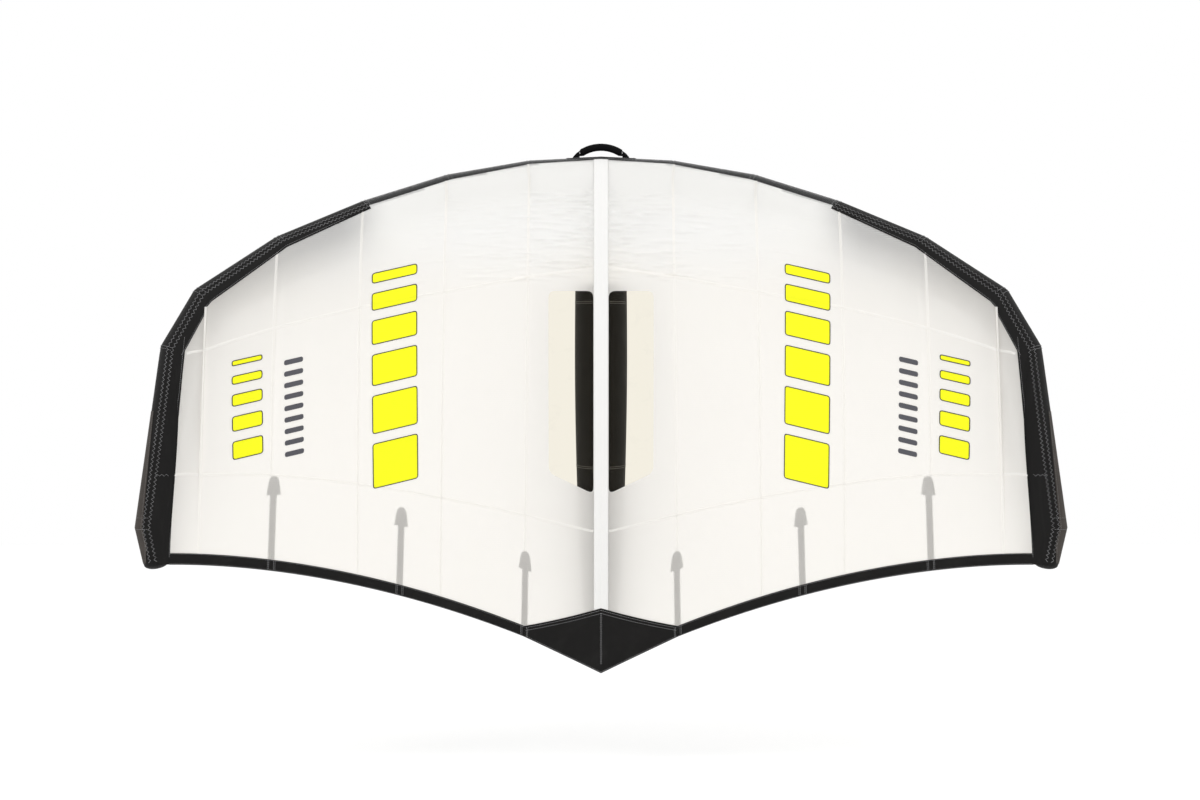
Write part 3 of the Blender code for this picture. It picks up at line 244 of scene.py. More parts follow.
def cloth(station, share, level=0.0):
    """Points on the canopy, raised by level from its underside."""
    station, share, level = np.broadcast_arrays(station, share, np.asarray(level, float))
    across = np.abs(station) * COLUMNS
    column = np.minimum(across.astype(int), len(CLOTH) - 2)
    down = share * SHARE_STEPS
    row = np.clip(down.astype(int), 0, SHARE_STEPS - 1)
    s, t = (across - column)[..., None], (down - row)[..., None]

    def mixed(table):
        near = (1 - t) * table[column, row] + t * table[column, row + 1]
        far = (1 - t) * table[column + 1, row] + t * table[column + 1, row + 1]
        return (1 - s) * near + s * far

    points = mixed(CLOTH) + level[..., None] * mixed(NORMALS)
    points[..., 0] *= np.where(station < 0, -1, 1)
    return points


def length_at(station):
    return np.interp(np.abs(station) * COLUMNS, range(len(LENGTHS)), LENGTHS)


def strip_share(station):
    return np.interp(np.abs(station), *zip(*STRIP_WIDTHS)) / length_at(station)


def band_share(station):
    return 1 - BAND_WIDTH / length_at(station)


def tail_share(station):
    reach = np.minimum(np.abs(station), 1)
    return TAIL_APEX_SHARE + (band_share(1.0) - TAIL_APEX_SHARE) * reach


def tip_start(shares):
    """Where the tip panel starts at each share: its inner edge is straight in the front view."""
    stations = np.linspace(TIP_STATION - 1, TIP_STATION + 0.5, 76)
    points = cloth(stations[None, :], np.asarray(shares, float)[:, None])
    past = points[..., 0] - (TIP_EDGE_X + TIP_EDGE_SLOPE * (TIP_EDGE_Z - points[..., 2]))
    return np.array([np.interp(0, row, stations) for row in past])


def on_cloth(x, z, level=0.0):
    """Points of the canopy at places of the front view, found by Newton's steps."""
    reach = np.abs(x)
    station = np.interp(reach, CLOTH[:, SHARE_STEPS // 2, 0], np.arange(len(CLOTH)) / COLUMNS)
    share = np.full_like(station, 0.5)
    for _ in range(NEWTON_STEPS):
        base = cloth(station, share)
        right = (cloth(station + STATION_STEP, share) - base) / STATION_STEP
        down = (cloth(station, share + SHARE_STEP) - base) / SHARE_STEP
        off_x, off_z = reach - base[..., 0], z - base[..., 2]
        spread = right[..., 0] * down[..., 2] - down[..., 0] * right[..., 2]
        out = (off_x * down[..., 2] - down[..., 0] * off_z) / spread
        back = (right[..., 0] * off_z - off_x * right[..., 2]) / spread
        station = np.clip(station + out, 0, LAST_STATION - 0.02)
        share = np.clip(share + back, 0, 0.99)
    points = cloth(station, share, level)
    points[..., 0] *= np.where(x < 0, -1, 1)
    return points


# Node materials

FINE_WEAVE = 0.0008
RELIEF_DEPTH = 0.0007
UPPER_FADE_Z = (-0.50, -0.22)
OUTBOARD_FADE_X = (0.66, 0.84)


def node(tree, kind, inputs=None, **settings):
    made = tree.nodes.new("ShaderNode" + kind)
    for name, value in settings.items():
        setattr(made, name, value)
    for name, value in (inputs or {}).items():
        if isinstance(value, bpy.types.NodeSocket):
            tree.links.new(value, made.inputs[name])
        else:
            made.inputs[name].default_value = value
    return made


def new_material(name):
    made = bpy.data.materials.new(name)
    made.use_nodes = True
    made.node_tree.nodes.clear()
    return made, made.node_tree


def close(tree, shader):
    node(tree, "OutputMaterial", {"Surface": shader})


def blend_colours(tree, factor, first, second):
    mix = node(tree, "Mix", data_type="RGBA")
    for socket, value in ((mix.inputs[0], factor), (mix.inputs[6], first), (mix.inputs[7], second)):
        if isinstance(value, bpy.types.NodeSocket):
            tree.links.new(value, socket)
        else:
            socket.default_value = (*value, 1)
    return mix.outputs[2]


def maths(tree, operation, *values):
    return node(tree, "Math", dict(enumerate(values)), operation=operation).outputs[0]


def summed(tree, first, second):
    return maths(tree, "ADD", first, second)


def ramp(tree, value, start, end, low=0.0, high=1.0, **settings):
    """Takes a value from the range start to end into the range low to high."""
    return node(tree, "MapRange", {0: value, 1: start, 2: end, 3: low, 4: high}, **settings).outputs[0]


def noise(tree, vector, scale, detail, roughness=0.5, distortion=0.0):
    return node(tree, "TexNoise", {
        "Vector": vector, "Scale": scale, "Detail": detail, "Roughness": roughness, "Distortion": distortion,
    }).outputs["Fac"]


def bumped(tree, height, strength, distance=RELIEF_DEPTH):
    return node(tree, "Bump", {"Height": height, "Strength": strength, "Distance": distance}).outputs[0]


def principled(tree, colour, roughness, normal, more):
    inputs = {"Base Color": colour, "Roughness": roughness, "Normal": normal, **more}
    return node(tree, "BsdfPrincipled", inputs).outputs[0]


def mixed(tree, share, first, second):
    return node(tree, "MixShader", {0: share, 1: first, 2: second}).outputs[0]


def bands(tree, vector, pitch, direction, narrow=1.0):
    """Lines a pitch apart, from 0 to 1; narrow makes them thinner than the space between."""
    scale = math.pi / 10 / pitch
    wave = node(tree, "TexWave", {"Vector": vector, "Scale": scale}, bands_direction=direction)
    return maths(tree, "POWER", wave.outputs["Fac"], narrow)


def weave(tree, vector, pitch):
    return summed(tree, bands(tree, vector, pitch, "X"), bands(tree, vector, pitch, "Y"))


def object_place(tree):
    return node(tree, "TexCoord").outputs["Object"]


def parts_of(tree, vector):
    return node(tree, "SeparateXYZ", {0: vector}).outputs


def plan_place(tree):
    """Object coordinates with the span on X and the chord on Y."""
    parts = parts_of(tree, object_place(tree))
    return node(tree, "CombineXYZ", {0: parts[0], 1: parts[2]}).outputs[0]


def ripstop(name, colour, deep, passes, clear, roughness=0.5, pitch=0.0065, upper=None):
    """Thin coated sailcloth: a fine weave with heavier threads, which lets light through.

    It turns to the upper colour toward the leading edge.
    """
    made, tree = new_material(name)
    vector = plan_place(tree)
    across, down = bands(tree, vector, pitch, "X", 8), bands(tree, vector, pitch, "Y", 5)
    heavy = maths(tree, "MULTIPLY_ADD", across, 0.35, down)
    shade = blend_colours(tree, noise(tree, vector, 3.5, 5, 0.6), colour, deep)
    if upper:
        fade = ramp(tree, parts_of(tree, vector)[1], *UPPER_FADE_Z, interpolation_type="SMOOTHSTEP")
        shade = blend_colours(tree, fade, shade, upper)
    streak = node(tree, "Mapping", {"Vector": vector, "Scale": (6, 60, 1)})
    crease = noise(tree, streak.outputs[0], 1, 4)
    relief = summed(tree, summed(tree, heavy, weave(tree, vector, FINE_WEAVE)), crease)
    bump = bumped(tree, relief, 0.25)
    front = principled(tree, shade, roughness, bump, {"Specular IOR Level": 0.3})
    back = node(tree, "BsdfTranslucent", {"Color": shade, "Normal": bump}).outputs[0]
    body = mixed(tree, ramp(tree, heavy, 0, 1, passes, 0.62 * passes), front, back)
    close(tree, mixed(tree, clear, body, node(tree, "BsdfTransparent").outputs[0]))
    return made


def woven(name, colour, worn, roughness, pitch=0.0016, strength=0.35, sheen=0.0, shine=0.12, outboard_shade=None):
    """Dense coated cloth or webbing: a plain weave, faint creases and paler rubbed places.

    It can turn to another colour toward the tips, used as painted shade where the painted light behind the
    canopy ends.
    """
    made, tree = new_material(name)
    vector = node(tree, "TexCoord").outputs["UV"]
    cloud = noise(tree, vector, 9, 6, 0.62)
    shade = blend_colours(tree, ramp(tree, cloud, 0.48, 0.78), colour, worn)
    if outboard_shade:
        reach = maths(tree, "ABSOLUTE", parts_of(tree, object_place(tree))[0])
        fade = ramp(tree, reach, *OUTBOARD_FADE_X, interpolation_type="SMOOTHSTEP")
        shade = blend_colours(tree, fade, shade, outboard_shade)
    creases = maths(tree, "MULTIPLY", noise(tree, vector, 38, 3, distortion=1.2), 2.5)
    bump = bumped(tree, summed(tree, weave(tree, vector, pitch), creases), strength)
    matt = ramp(tree, cloud, 0.3, 0.7, roughness - 0.08, roughness + 0.08)
    more = {"Sheen Weight": sheen, "Sheen Roughness": 0.10, "Specular IOR Level": shine}
    close(tree, principled(tree, shade, matt, bump, more))
    return made


def moulded(name, colour, worn, roughness, grain=900, metallic=0.0, strength=0.12):
    """Rigid plastic, composite or metal with a fine grain and edges rubbed paler."""
    made, tree = new_material(name)
    place = object_place(tree)
    cloud = noise(tree, place, 45, 5)
    edges = ramp(tree, node(tree, "NewGeometry").outputs["Pointiness"], 0.52, 0.6)
    mottled = blend_colours(tree, cloud, colour, tuple(0.8 * part for part in colour))
    bump = bumped(tree, noise(tree, place, grain, 2), strength, 0.0003)
    matt = ramp(tree, cloud, 0.3, 0.7, roughness - 0.07, roughness + 0.07)
    shade = blend_colours(tree, edges, mottled, worn)
    close(tree, principled(tree, shade, matt, bump, {"Metallic": metallic}))
    return made


def film(name, tint, clear):
    """Clear flexible film with soft dents, a little milky where it has been folded."""
    made, tree = new_material(name)
    dents = noise(tree, plan_place(tree), 16, 5, 0.55, 0.8)
    bump = bumped(tree, dents, 0.5, 0.004)
    gloss = principled(tree, (0.05, 0.05, 0.05, 1), 0.12, bump, {"Specular IOR Level": 0.2})
    through = node(tree, "BsdfTransparent", {"Color": (*tint, 1)}).outputs[0]
    share = ramp(tree, dents, 0.55, 0.80, clear, 0.965 * clear)
    close(tree, mixed(tree, share, gloss, through))
    return made


# The second colour here is painted shade: the dark that the pale painted light behind the canopy fades to
# toward the tips.
UPPER_CREAM, OUTBOARD_SHADE_COLOUR = (0.95, 0.945, 0.93), (0.008, 0.0076, 0.0074)
SLEEVE_COLOURS = (0.0035, 0.0035, 0.0040), (0.009, 0.009, 0.0095)
CREAM = ripstop("canopy_ripstop", (0.955, 0.93, 0.885), (0.94, 0.915, 0.87), 0.60, 0.03, upper=UPPER_CREAM)
YELLOW = ripstop("print_yellow", (0.975, 0.99, 0.008), (0.955, 0.97, 0.008), 0.30, 0.0)
OUTLINE = ripstop("print_dark", (0.020, 0.021, 0.024), (0.030, 0.030, 0.034), 0.05, 0.0)
GREY_PRINT = ripstop("print_grey", (0.075, 0.075, 0.088), (0.095, 0.095, 0.108), 0.10, 0.0)
WHITE = ripstop("seam_white", (0.83, 0.825, 0.81), (0.81, 0.805, 0.79), 0.02, 0.0, 0.42, 0.003)
SEAM = ripstop("seam_cream", (0.97, 0.955, 0.925), (0.96, 0.94, 0.91), 0.45, 0.0, 0.5, 0.004)
POCKET = ripstop("pocket_mesh", (0.030, 0.030, 0.030), (0.10, 0.10, 0.10), 0.06, 0.05, 0.6, 0.0026)
WINDOW = film("window_film", (0.935, 0.893, 0.782), 0.965)
GREY_CLOTH = woven("tube_grey", (0.016, 0.0163, 0.0167), (0.042, 0.0425, 0.044), 0.34, sheen=1.0)
# Painted light: the tube's and the strut's sides behind the canopy are pale, so that less of their shade
# shows through the cloth; toward the tips it fades to dark, painted shade through the canopy.
PAINTED_LIGHT_CLOTH = woven("tube_painted_light", (0.90, 0.90, 0.89), (0.84, 0.84, 0.83), 0.45, outboard_shade=OUTBOARD_SHADE_COLOUR)
BLACK_CLOTH = woven("cloth_black", (0.0070, 0.0066, 0.0064), (0.014, 0.0134, 0.013), 0.55)
SCUFF_CLOTH = woven("cloth_scuff", (0.052, 0.045, 0.040), (0.080, 0.070, 0.063), 0.62)
SLEEVE_CLOTH = woven("sleeve_black", *SLEEVE_COLOURS, 0.7, strength=0.45, shine=0.06)
WEBBING = woven("webbing_black", (0.008, 0.008, 0.0085), (0.018, 0.018, 0.019), 0.65, 0.0024, 0.6)
FOAM = woven("grip_foam", (0.010, 0.010, 0.011), (0.026, 0.026, 0.027), 0.82, 0.0011, 0.5, 0.1)
THREAD = woven("thread_light", (0.26, 0.26, 0.265), (0.36, 0.36, 0.365), 0.6, FINE_WEAVE)
PALE_THREAD = woven("thread_pale", (0.90, 0.89, 0.86), (0.85, 0.84, 0.81), 0.6, FINE_WEAVE)
BLACK_PLASTIC = moulded("plastic_black", (0.013, 0.013, 0.014), (0.055, 0.055, 0.056), 0.42)
GREY_PLASTIC = moulded("plastic_grey", (0.22, 0.225, 0.23), (0.36, 0.365, 0.37), 0.45)
BATTEN = moulded("batten_laminate", (0.055, 0.055, 0.056), (0.11, 0.11, 0.11), 0.4, grain=400)
COMPOSITE = moulded("bar_composite", (0.022, 0.022, 0.024), (0.075, 0.075, 0.078), 0.30, grain=500)
STEEL = moulded("steel", (0.60, 0.60, 0.61), (0.75, 0.75, 0.76), 0.24, 300, 1.0, 0.05)
HOSE = moulded("hose_vinyl", (0.50, 0.51, 0.53), (0.66, 0.67, 0.68), 0.32, grain=200)
BLADDER = moulded("bladder_film", (0.70, 0.71, 0.72), (0.80, 0.81, 0.82), 0.25, grain=120)

# The record's slot that each finish belongs to, unless a piece names another; make() looks it up but gives
# it to nothing
SLOTS = {
    "canopy_cloth": (CREAM, YELLOW, OUTLINE, GREY_PRINT, POCKET),
    "window_film": (WINDOW,),
    "seam_cloth": (WHITE,),
    "tube_cloth_grey": (GREY_CLOTH,),
    "tube_cloth_black": (BLACK_CLOTH, SCUFF_CLOTH, SLEEVE_CLOTH, WEBBING),
    "grip_foam": (FOAM,),
    "ring_steel": (STEEL,),
}
SLOT_OF = {finish.name: slot for slot, finishes in SLOTS.items() for finish in finishes}


# Meshes


def make(name, points, faces, finish, body="wing", maps=None, slot=None, stands_for=()):
    """A smooth mesh piece on a body, its map in metres, and the nodes of the CAD it stands for."""
    finishes = finish if isinstance(finish, list) else [finish]
    mesh = bpy.data.meshes.new(name)
    mesh.from_pydata([tuple(point) for point in np.reshape(points, (-1, 3))], [], [tuple(f) for f in faces])
    if maps is not None:
        layer = mesh.uv_layers.new(name="cloth")
        corners = np.zeros(len(mesh.loops), int)
        mesh.loops.foreach_get("vertex_index", corners)
        layer.data.foreach_set("uv", np.reshape(maps, (-1, 2))[corners].astype(np.float32).ravel())
    mesh.shade_smooth()
    for one in finishes:
        mesh.materials.append(one)
    made = bpy.data.objects.new(name, mesh)
    bpy.context.scene.collection.objects.link(made)
    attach(made, body)
    slot = SLOT_OF.get(finishes[0].name) if slot is None else slot
    if stands_for:
        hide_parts(*stands_for)
    return made


def grid_faces(rows, columns, closed=False, flip=False):
    index = np.arange(rows * columns).reshape(rows, columns)
    after = np.roll(index, -1, axis=1) if closed else index[:, 1:]
    before = index if closed else index[:, :-1]
    quads = np.stack((before[:-1], after[:-1], after[1:], before[1:]), -1).reshape(-1, 4)
    return quads[:, ::-1] if flip else quads


def in_metres(points):
    """A map of a grid of points, each direction measured along the grid."""
    down = np.linalg.norm(np.diff(points, axis=0), axis=-1).cumsum(0)
    across = np.linalg.norm(np.diff(points, axis=1), axis=-1).cumsum(1)
    return np.stack((np.pad(across, ((0, 0), (1, 0))), np.pad(down, ((1, 0), (0, 0)))), -1)


def grid_piece(name, points, finish, closed=False, flip=False, **more):
    points = np.asarray(points, float)
    faces = grid_faces(*points.shape[:2], closed, flip)
    return make(name, points, faces, finish, maps=in_metres(points), **more)


def layer(stations, low, high, rows, level):
    """A grid on the canopy between two shares at each station."""
    return cloth(stations[None, :], np.linspace(0, 1, rows)[:, None] * (high - low) + low, level)


def between(start, end, pitch=1 / 16):
    """Stations from start to end, every whole one among them."""
    steps = max(int(round(abs(end - start) / pitch)), 2)
    places = set(np.linspace(start, end, steps + 1).round(6))
    whole = {float(s) for s in range(math.ceil(min(start, end)), math.floor(max(start, end)) + 1)}
    return np.array(sorted(places | whole))


def evenly(path, pitch):
    """The path again with its points a pitch apart."""
    path = np.asarray(path, float)
    lengths = np.concatenate(([0], np.cumsum(np.linalg.norm(np.diff(path, axis=0), axis=1))))
    places = np.linspace(0, lengths[-1], max(int(lengths[-1] / pitch), 1) + 1)
    return np.stack([np.interp(places, lengths, path[:, axis]) for axis in range(3)], 1)


class Strands:
    """Thin round threads, gathered into one mesh."""

    def __init__(self):
        self.points, self.faces, self.count = [], [], 0

    def add(self, path, radius, sides=4):
        along = unit(np.gradient(path, axis=0))
        first = unit(np.cross(along, (0.3, -0.9, 0.31)))
        second = np.cross(along, first)
        turns = 2 * math.pi * np.arange(sides)[:, None] / sides
        rings = path[:, None] + radius * (np.cos(turns) * first[:, None] + np.sin(turns) * second[:, None])
        ends = [list(range(sides))[::-1], list(range((len(path) - 1) * sides, len(path) * sides))]
        faces = [list(face) for face in grid_faces(len(path), sides, closed=True)] + ends
        self.faces += [[index + self.count for index in face] for face in faces]
        self.points.append(rings.reshape(-1, 3))
        self.count += len(path) * sides

    def dashes(self, path, radius, stitch=0.0045, gap=0.0017):
        """A straight seam: one short thread for each stitch."""
        path = evenly(path, stitch / 3)
        step = int(round((stitch + gap) / (stitch / 3)))
        for start in range(0, len(path) - 3, step):
            self.add(path[start:start + 4], radius)

    def zigzag(self, path, normals, width, pitch, radius):
        """A zigzag thread along a path on a skin whose outward normals are given."""
        fine = evenly(path, pitch / 2)
        reach = np.linspace(0, len(path) - 1, len(fine))
        normal = [np.interp(reach, range(len(path)), normals[:, axis]) for axis in range(3)]
        across = unit(np.cross(np.gradient(fine, axis=0), np.stack(normal, 1)))
        self.add(fine + across * (width / 2) * np.where(np.arange(len(fine)) % 2, 1, -1)[:, None], radius)

    def piece(self, name, finish, body="wing"):
        points = np.concatenate(self.points)
        return make(name, points, self.faces, finish, body, maps=points[:, ::2], slot="")


def raised(stations, shares, level=THREAD_LEVEL):
    """Points on the canopy, and the direction away from it at each."""
    points = cloth(stations, shares, level)
    return points, cloth(stations, shares, level + 1) - points


def rounded(corners, radius, steps=5):
    """An outline's corners, each as a short curve."""
    corners = [np.array(corner, float) for corner in corners]
    made = []
    for index, corner in enumerate(corners):
        before, after = corners[index - 1], corners[(index + 1) % len(corners)]
        start, end = corner + unit(before - corner) * radius, corner + unit(after - corner) * radius
        for u in np.linspace(0, 1, steps + 1):
            made.append((1 - u) ** 2 * start + 2 * u * (1 - u) * corner + u ** 2 * end)
    return np.array(made)


STAMP_MARGIN, CUT_MARGIN = 0.02, 0.016


def middle_of(face):
    place = face.calc_center_median()
    return np.array((place.x, place.z))


def stamp(form, outline, index):
    """Cuts a rounded convex outline, seen along Y, into the cloth and gives its inside a finish."""
    low, high = outline.min(0) - STAMP_MARGIN, outline.max(0) + STAMP_MARGIN
    near = [face for face in form.faces if (low < middle_of(face)).all() and (middle_of(face) < high).all()]
    middle = outline.mean(0)
    edges = []
    for start, end in zip(outline, np.roll(outline, -1, axis=0)):
        normal = unit(np.array((end[1] - start[1], start[0] - end[0])))
        normal = normal if normal @ (start - middle) > 0 else -normal
        edges.append((start, normal))
        reach = np.linalg.norm(end - start) / 2 + CUT_MARGIN
        touched = [face for face in near if (np.abs(middle_of(face) - (start + end) / 2) < reach).all()]
        geometry = set(touched)
        for face in touched:
            geometry.update(face.edges, face.verts)
        cut = bmesh.ops.bisect_plane(
            form, geom=list(geometry), dist=1e-6,
            plane_co=(start[0], 0, start[1]), plane_no=(normal[0], 0, normal[1]),
        )
        known = set(near)
        near += [item for item in cut["geom"] if isinstance(item, bmesh.types.BMFace) and item not in known]
    for face in near:
        if all((middle_of(face) - start) @ normal < 0 for start, normal in edges):
            face.material_index = index


# The canopy

WRINKLE_COUNT = 420
WRINKLE_SPREAD = 0.29
WRINKLE_LEVELS, WRINKLE_SAG = (-0.42, -0.14), 0.08
WRINKLE_REACHES, WRINKLE_HEIGHTS, WRINKLE_DEPTHS = (0.020, 0.060), (0.0030, 0.0056), (0.0018, 0.0060)
WRINKLE_TILT, WRINKLE_FAN, WRINKLE_FADE = 0.06, 0.10, 0.36
TAPE_EASE = 0.012
CANOPY_PITCH = 1 / 28
FINE_SHARES = (0.05, 0.27)
rng = np.random.default_rng(7)


def make_wrinkles():
    """Places and sizes of small level folds behind the middle of the tube."""
    x = rng.normal(0, WRINKLE_SPREAD, WRINKLE_COUNT)
    z = rng.uniform(*WRINKLE_LEVELS, WRINKLE_COUNT) - WRINKLE_SAG * np.abs(x) ** 1.5
    reach = rng.uniform(*WRINKLE_REACHES, WRINKLE_COUNT)
    height = rng.uniform(*WRINKLE_HEIGHTS, WRINKLE_COUNT)
    tilt = rng.normal(0, WRINKLE_TILT, WRINKLE_COUNT) - WRINKLE_FAN * x
    depth = rng.uniform(*WRINKLE_DEPTHS, WRINKLE_COUNT) * np.exp(-np.abs(x) / WRINKLE_FADE)
    return np.stack((x, z, reach, height, tilt, depth), 1)


WRINKLES = make_wrinkles()


def creased(points):
    """The folds' height at each point. The cloth is held flat under the middle tape."""
    x, z = points[..., 0], points[..., 2]
    rise = np.zeros_like(x)
    for centre_x, centre_z, reach, height, tilt, depth in WRINKLES:
        along = (x - centre_x) / reach
        down = (z - centre_z - tilt * (x - centre_x)) / height
        near = (np.abs(along) < 2.6) & (np.abs(down) < 3.5)
        if near.any():
            fold = 1.3 * np.exp(-down[near] ** 2) - 0.3 * np.exp(-0.2 * down[near] ** 2)
            rise[near] += depth * np.exp(-along[near] ** 2) * fold
    return rise * np.clip((np.abs(x) - CENTRE_TAPE_WIDTH / 2) / TAPE_EASE, 0, 1)


def window_outline(side):
    corners = [
        (WINDOW_INNER_X, WINDOW_TOP_Z), (WINDOW_OUTER_X, WINDOW_TOP_Z),
        (WINDOW_OUTER_X, WINDOW_OUTER_BOTTOM_Z), (WINDOW_INNER_X, WINDOW_INNER_BOTTOM_Z),
    ]
    return rounded([(side * x, z + PLACE[2]) for x, z in corners], WINDOW_CORNER_RADIUS)


def make_canopy():
    """One sheet from tip panel to tip panel, with the windows taken out as panes of their own."""
    start, end = FINE_SHARES
    fine = np.linspace(start, end, 110)
    shares = np.concatenate((np.linspace(0, start, 10)[:-1], fine, np.linspace(end, 1, 110)[1:]))[:, None]
    stations = between(-TIP_STATION, TIP_STATION, CANOPY_PITCH)[None, :]
    points, normals = raised(stations, shares, CLOTH_LEVEL)
    points = points + creased(points)[..., None] * normals
    replaced = [f"canopy_{part}_{word}" for part in ("front", "middle", "rear") for word, _ in SIDES]
    made = grid_piece("canopy", points, [CREAM, WINDOW], stands_for=replaced)
    form = bmesh.new()
    form.from_mesh(made.data)
    for _, side in SIDES:
        stamp(form, window_outline(side), 1)
    panes = form.copy()
    bmesh.ops.delete(form, geom=[face for face in form.faces if face.material_index == 1], context="FACES")
    form.to_mesh(made.data)
    form.free()
    made.data.materials.pop(index=1)
    windows = {}
    for word, side in SIDES:
        pane = panes.copy()
        others = [f for f in pane.faces if f.material_index != 1 or f.calc_center_median().x * side < 0]
        bmesh.ops.delete(pane, geom=others, context="FACES")
        piece = make("window_pane_" + word, [], [], WINDOW, stands_for=["window_" + word])
        pane.to_mesh(piece.data)
        pane.free()
        piece.data.polygons.foreach_set("material_index", [0] * len(piece.data.polygons))
        windows[word] = piece
    panes.free()
    return made, windows


canopy, window_panes = make_canopy()

# Printed bars on the front view: each column's middle, width and top, and its bars' heights
BAR_COLUMNS = (
    ("big", 0.655, 0.142, -0.395, (0.034, 0.056, 0.078, 0.100, 0.122, 0.144)),
    ("small", 1.105, 0.092, -0.680, (0.018, 0.028, 0.038, 0.048, 0.058)),
)
GREY_BAR_X, GREY_BAR_WIDTH, GREY_BAR_HEIGHT, GREY_BAR_COUNT = 0.965, 0.058, 0.016, 9
GREY_BAR_TOP_Z, GREY_BAR_PITCH = -0.654, 0.036
BAR_GAP = 0.030
BAR_SLANT = 0.24
BAR_CORNER = 0.010
OUTLINE_WIDTH, OUTLINE_OVERLAP, OUTLINE_LIFT = 0.0026, 0.0004, 0.0002
CORNERS = ((-1, 1), (1, 1), (1, -1), (-1, -1))


def bar_rim(x, z, width, height, inset=0.0):
    """The edge of a slanted bar with rounded corners, in the front view."""
    half, tall = width / 2 - inset, height / 2 - inset
    slant = -BAR_SLANT if x > 0 else BAR_SLANT
    corners = [(x + side * half, z + up * tall + slant * side * half) for side, up in CORNERS]
    outline = rounded(corners, min(BAR_CORNER, height / 2.4) - inset, 3)
    edges = zip(outline, np.roll(outline, -1, axis=0))
    return np.concatenate([np.linspace(start, end, 8, endpoint=False) for start, end in edges])


def print_on_cloth(name, finish, outer, inner=None, level=PRINT_LEVEL):
    """A print between two edges, or one that fills its edge."""
    full = inner is None
    if full:
        inner = outer.mean(0) + 0.02 * (outer - outer.mean(0))
    flat = inner + np.linspace(0, 1, 7 if full else 3)[:, None, None] * (outer - inner)
    points = on_cloth(flat[..., 0], flat[..., 1], level)
    faces = [list(face) for face in grid_faces(*points.shape[:2], closed=True)]
    if full:
        faces.append(list(range(points.shape[1]))[::-1])
    return make(name, points, faces, finish, maps=flat)


def print_bars():
    made = []
    for word, side in SIDES:
        for size, x, width, z, heights in BAR_COLUMNS:
            for number, height in enumerate(heights, 1):
                place = (side * x, z - height / 2, width, height)
                name = f"{size}_bar_{number}_{word}"
                ring = (bar_rim(*place), bar_rim(*place, OUTLINE_WIDTH + OUTLINE_OVERLAP))
                made.append(print_on_cloth(name + "_outline", OUTLINE, *ring, PRINT_LEVEL + OUTLINE_LIFT))
                made.append(print_on_cloth(name, YELLOW, bar_rim(*place, OUTLINE_WIDTH)))
                z -= height + BAR_GAP
        for number in range(1, GREY_BAR_COUNT + 1):
            z = GREY_BAR_TOP_Z - number * GREY_BAR_PITCH
            rim = bar_rim(side * GREY_BAR_X, z, GREY_BAR_WIDTH, GREY_BAR_HEIGHT)
            made.append(print_on_cloth(f"grey_bar_{number}_{word}", GREY_PRINT, rim))
    return made


printed_bars = print_bars()


# Seam tapes, edge strips and the tail patch

BATTENS = {1.0: 0.270, 2.5: 0.275, 4.0: 0.290}
POCKET_HEAD_LENGTH = 0.062
TAPE_WIDTH = 0.0085
TAPE_PROFILE = ((-0.5, 0), (-0.4, 0.0003), (0, 0.0004), (0.4, 0.0003), (0.5, 0))
SPAN_TAPE_LIFT = 0.0003
SEAM_STITCH = (0.004, 0.005, 0.00022)
SEAM_STITCH_LIFT = 0.0005
COLUMN_WIDTH = STATION_X_SHARES[1] * HALF_SPAN
CENTRE_STATION = CENTRE_TAPE_WIDTH / 2 / COLUMN_WIDTH
CENTRE_PROFILE = (
    (-1, 0), (-0.96, 0.0006), (-0.5, 0.0004), (-0.06, 0.0005), (0, 0.0009),
    (0.06, 0.0005), (0.5, 0.0004), (0.96, 0.0006), (1, 0),
)
CENTRE_ROWS = 200
CENTRE_SAG_STATION = 0.1
CENTRE_OVERLAP, CENTRE_FADE_START, CENTRE_FADE, CENTRE_END_DEPTH = 0.012, 0.004, 0.01, 0.0006
CENTRE_STITCH_LIFT, CENTRE_STITCH_RADIUS = 0.0002, 0.00028
CHORD_SEAM_LEANS = (0, 0.06, 0.11, 0.13, 0.13, 0.0)
EDGE_PITCH = 1 / 14
FOLD_REACH = 0.0009
TAIL_LIFT = 0.0004
TAIL_SEAM_SHARES, TAIL_MIDDLE_STATION = (0.004, 0.010), 0.008
BAND_SEAMS, BAND_SEAM_STEP = (0.012, 0.88), 0.002
TIP_SEAM_STATIONS = 0.075
HEM_INSET = 0.004
THREAD_RADIUS = 0.0006
FINE_THREAD_RADIUS = 0.8 * THREAD_RADIUS
light_thread, pale_thread, dark_thread = Strands(), Strands(), Strands()


def pocket_top(station):
    """How far down its chord a batten's pocket starts."""
    return length_at(station) - BATTENS[station] - POCKET_HEAD_LENGTH / 4


def make_tape(name, stations, shares, lift=0.0):
    """A seam's flat tape, its middle raised a little, with a zigzag sewn along it."""
    path, normals = raised(stations, shares, TAPE_LEVEL + lift)
    normals = unit(normals)
    pale_thread.zigzag(path + normals * SEAM_STITCH_LIFT, normals, *SEAM_STITCH)
    path = path + creased(path)[:, None] * normals
    across = unit(np.cross(np.gradient(path, axis=0), normals)) * TAPE_WIDTH
    rows = [path + across * place + normals * rise for place, rise in TAPE_PROFILE]
    return grid_piece(name, rows, SEAM)


def make_seam_tapes():
    made = []
    for word, side in SIDES:
        for station in range(1, TIP_STATION):
            start = strip_share(station) * 0.9 if station >= BLACK_STATION else 0
            end = pocket_top(station) / length_at(station) if station in BATTENS else band_share(station)
            shares = np.linspace(start, end, 150)
            lean = CHORD_SEAM_LEANS[station] * (0.6 + 0.4 * np.minimum(shares / 0.03, 1))
            places = side * (station + lean * (1 - shares))
            made.append(make_tape(f"chord_tape_{station}_{word}", places, shares))
        for table, row in ((FRONT_SEAM_SHARES, "front"), (REAR_SEAM_SHARES, "rear")):
            end = min(tip_start([table[-1]])[0] + 0.01, TIP_STATION - 0.005)
            stations = between(CENTRE_STATION, end, 1 / 20) * side
            shares = at_station(table, stations)
            made.append(make_tape(f"span_tape_{row}_{word}", stations, shares, SPAN_TAPE_LIFT))
    return made


seam_tapes = make_seam_tapes()


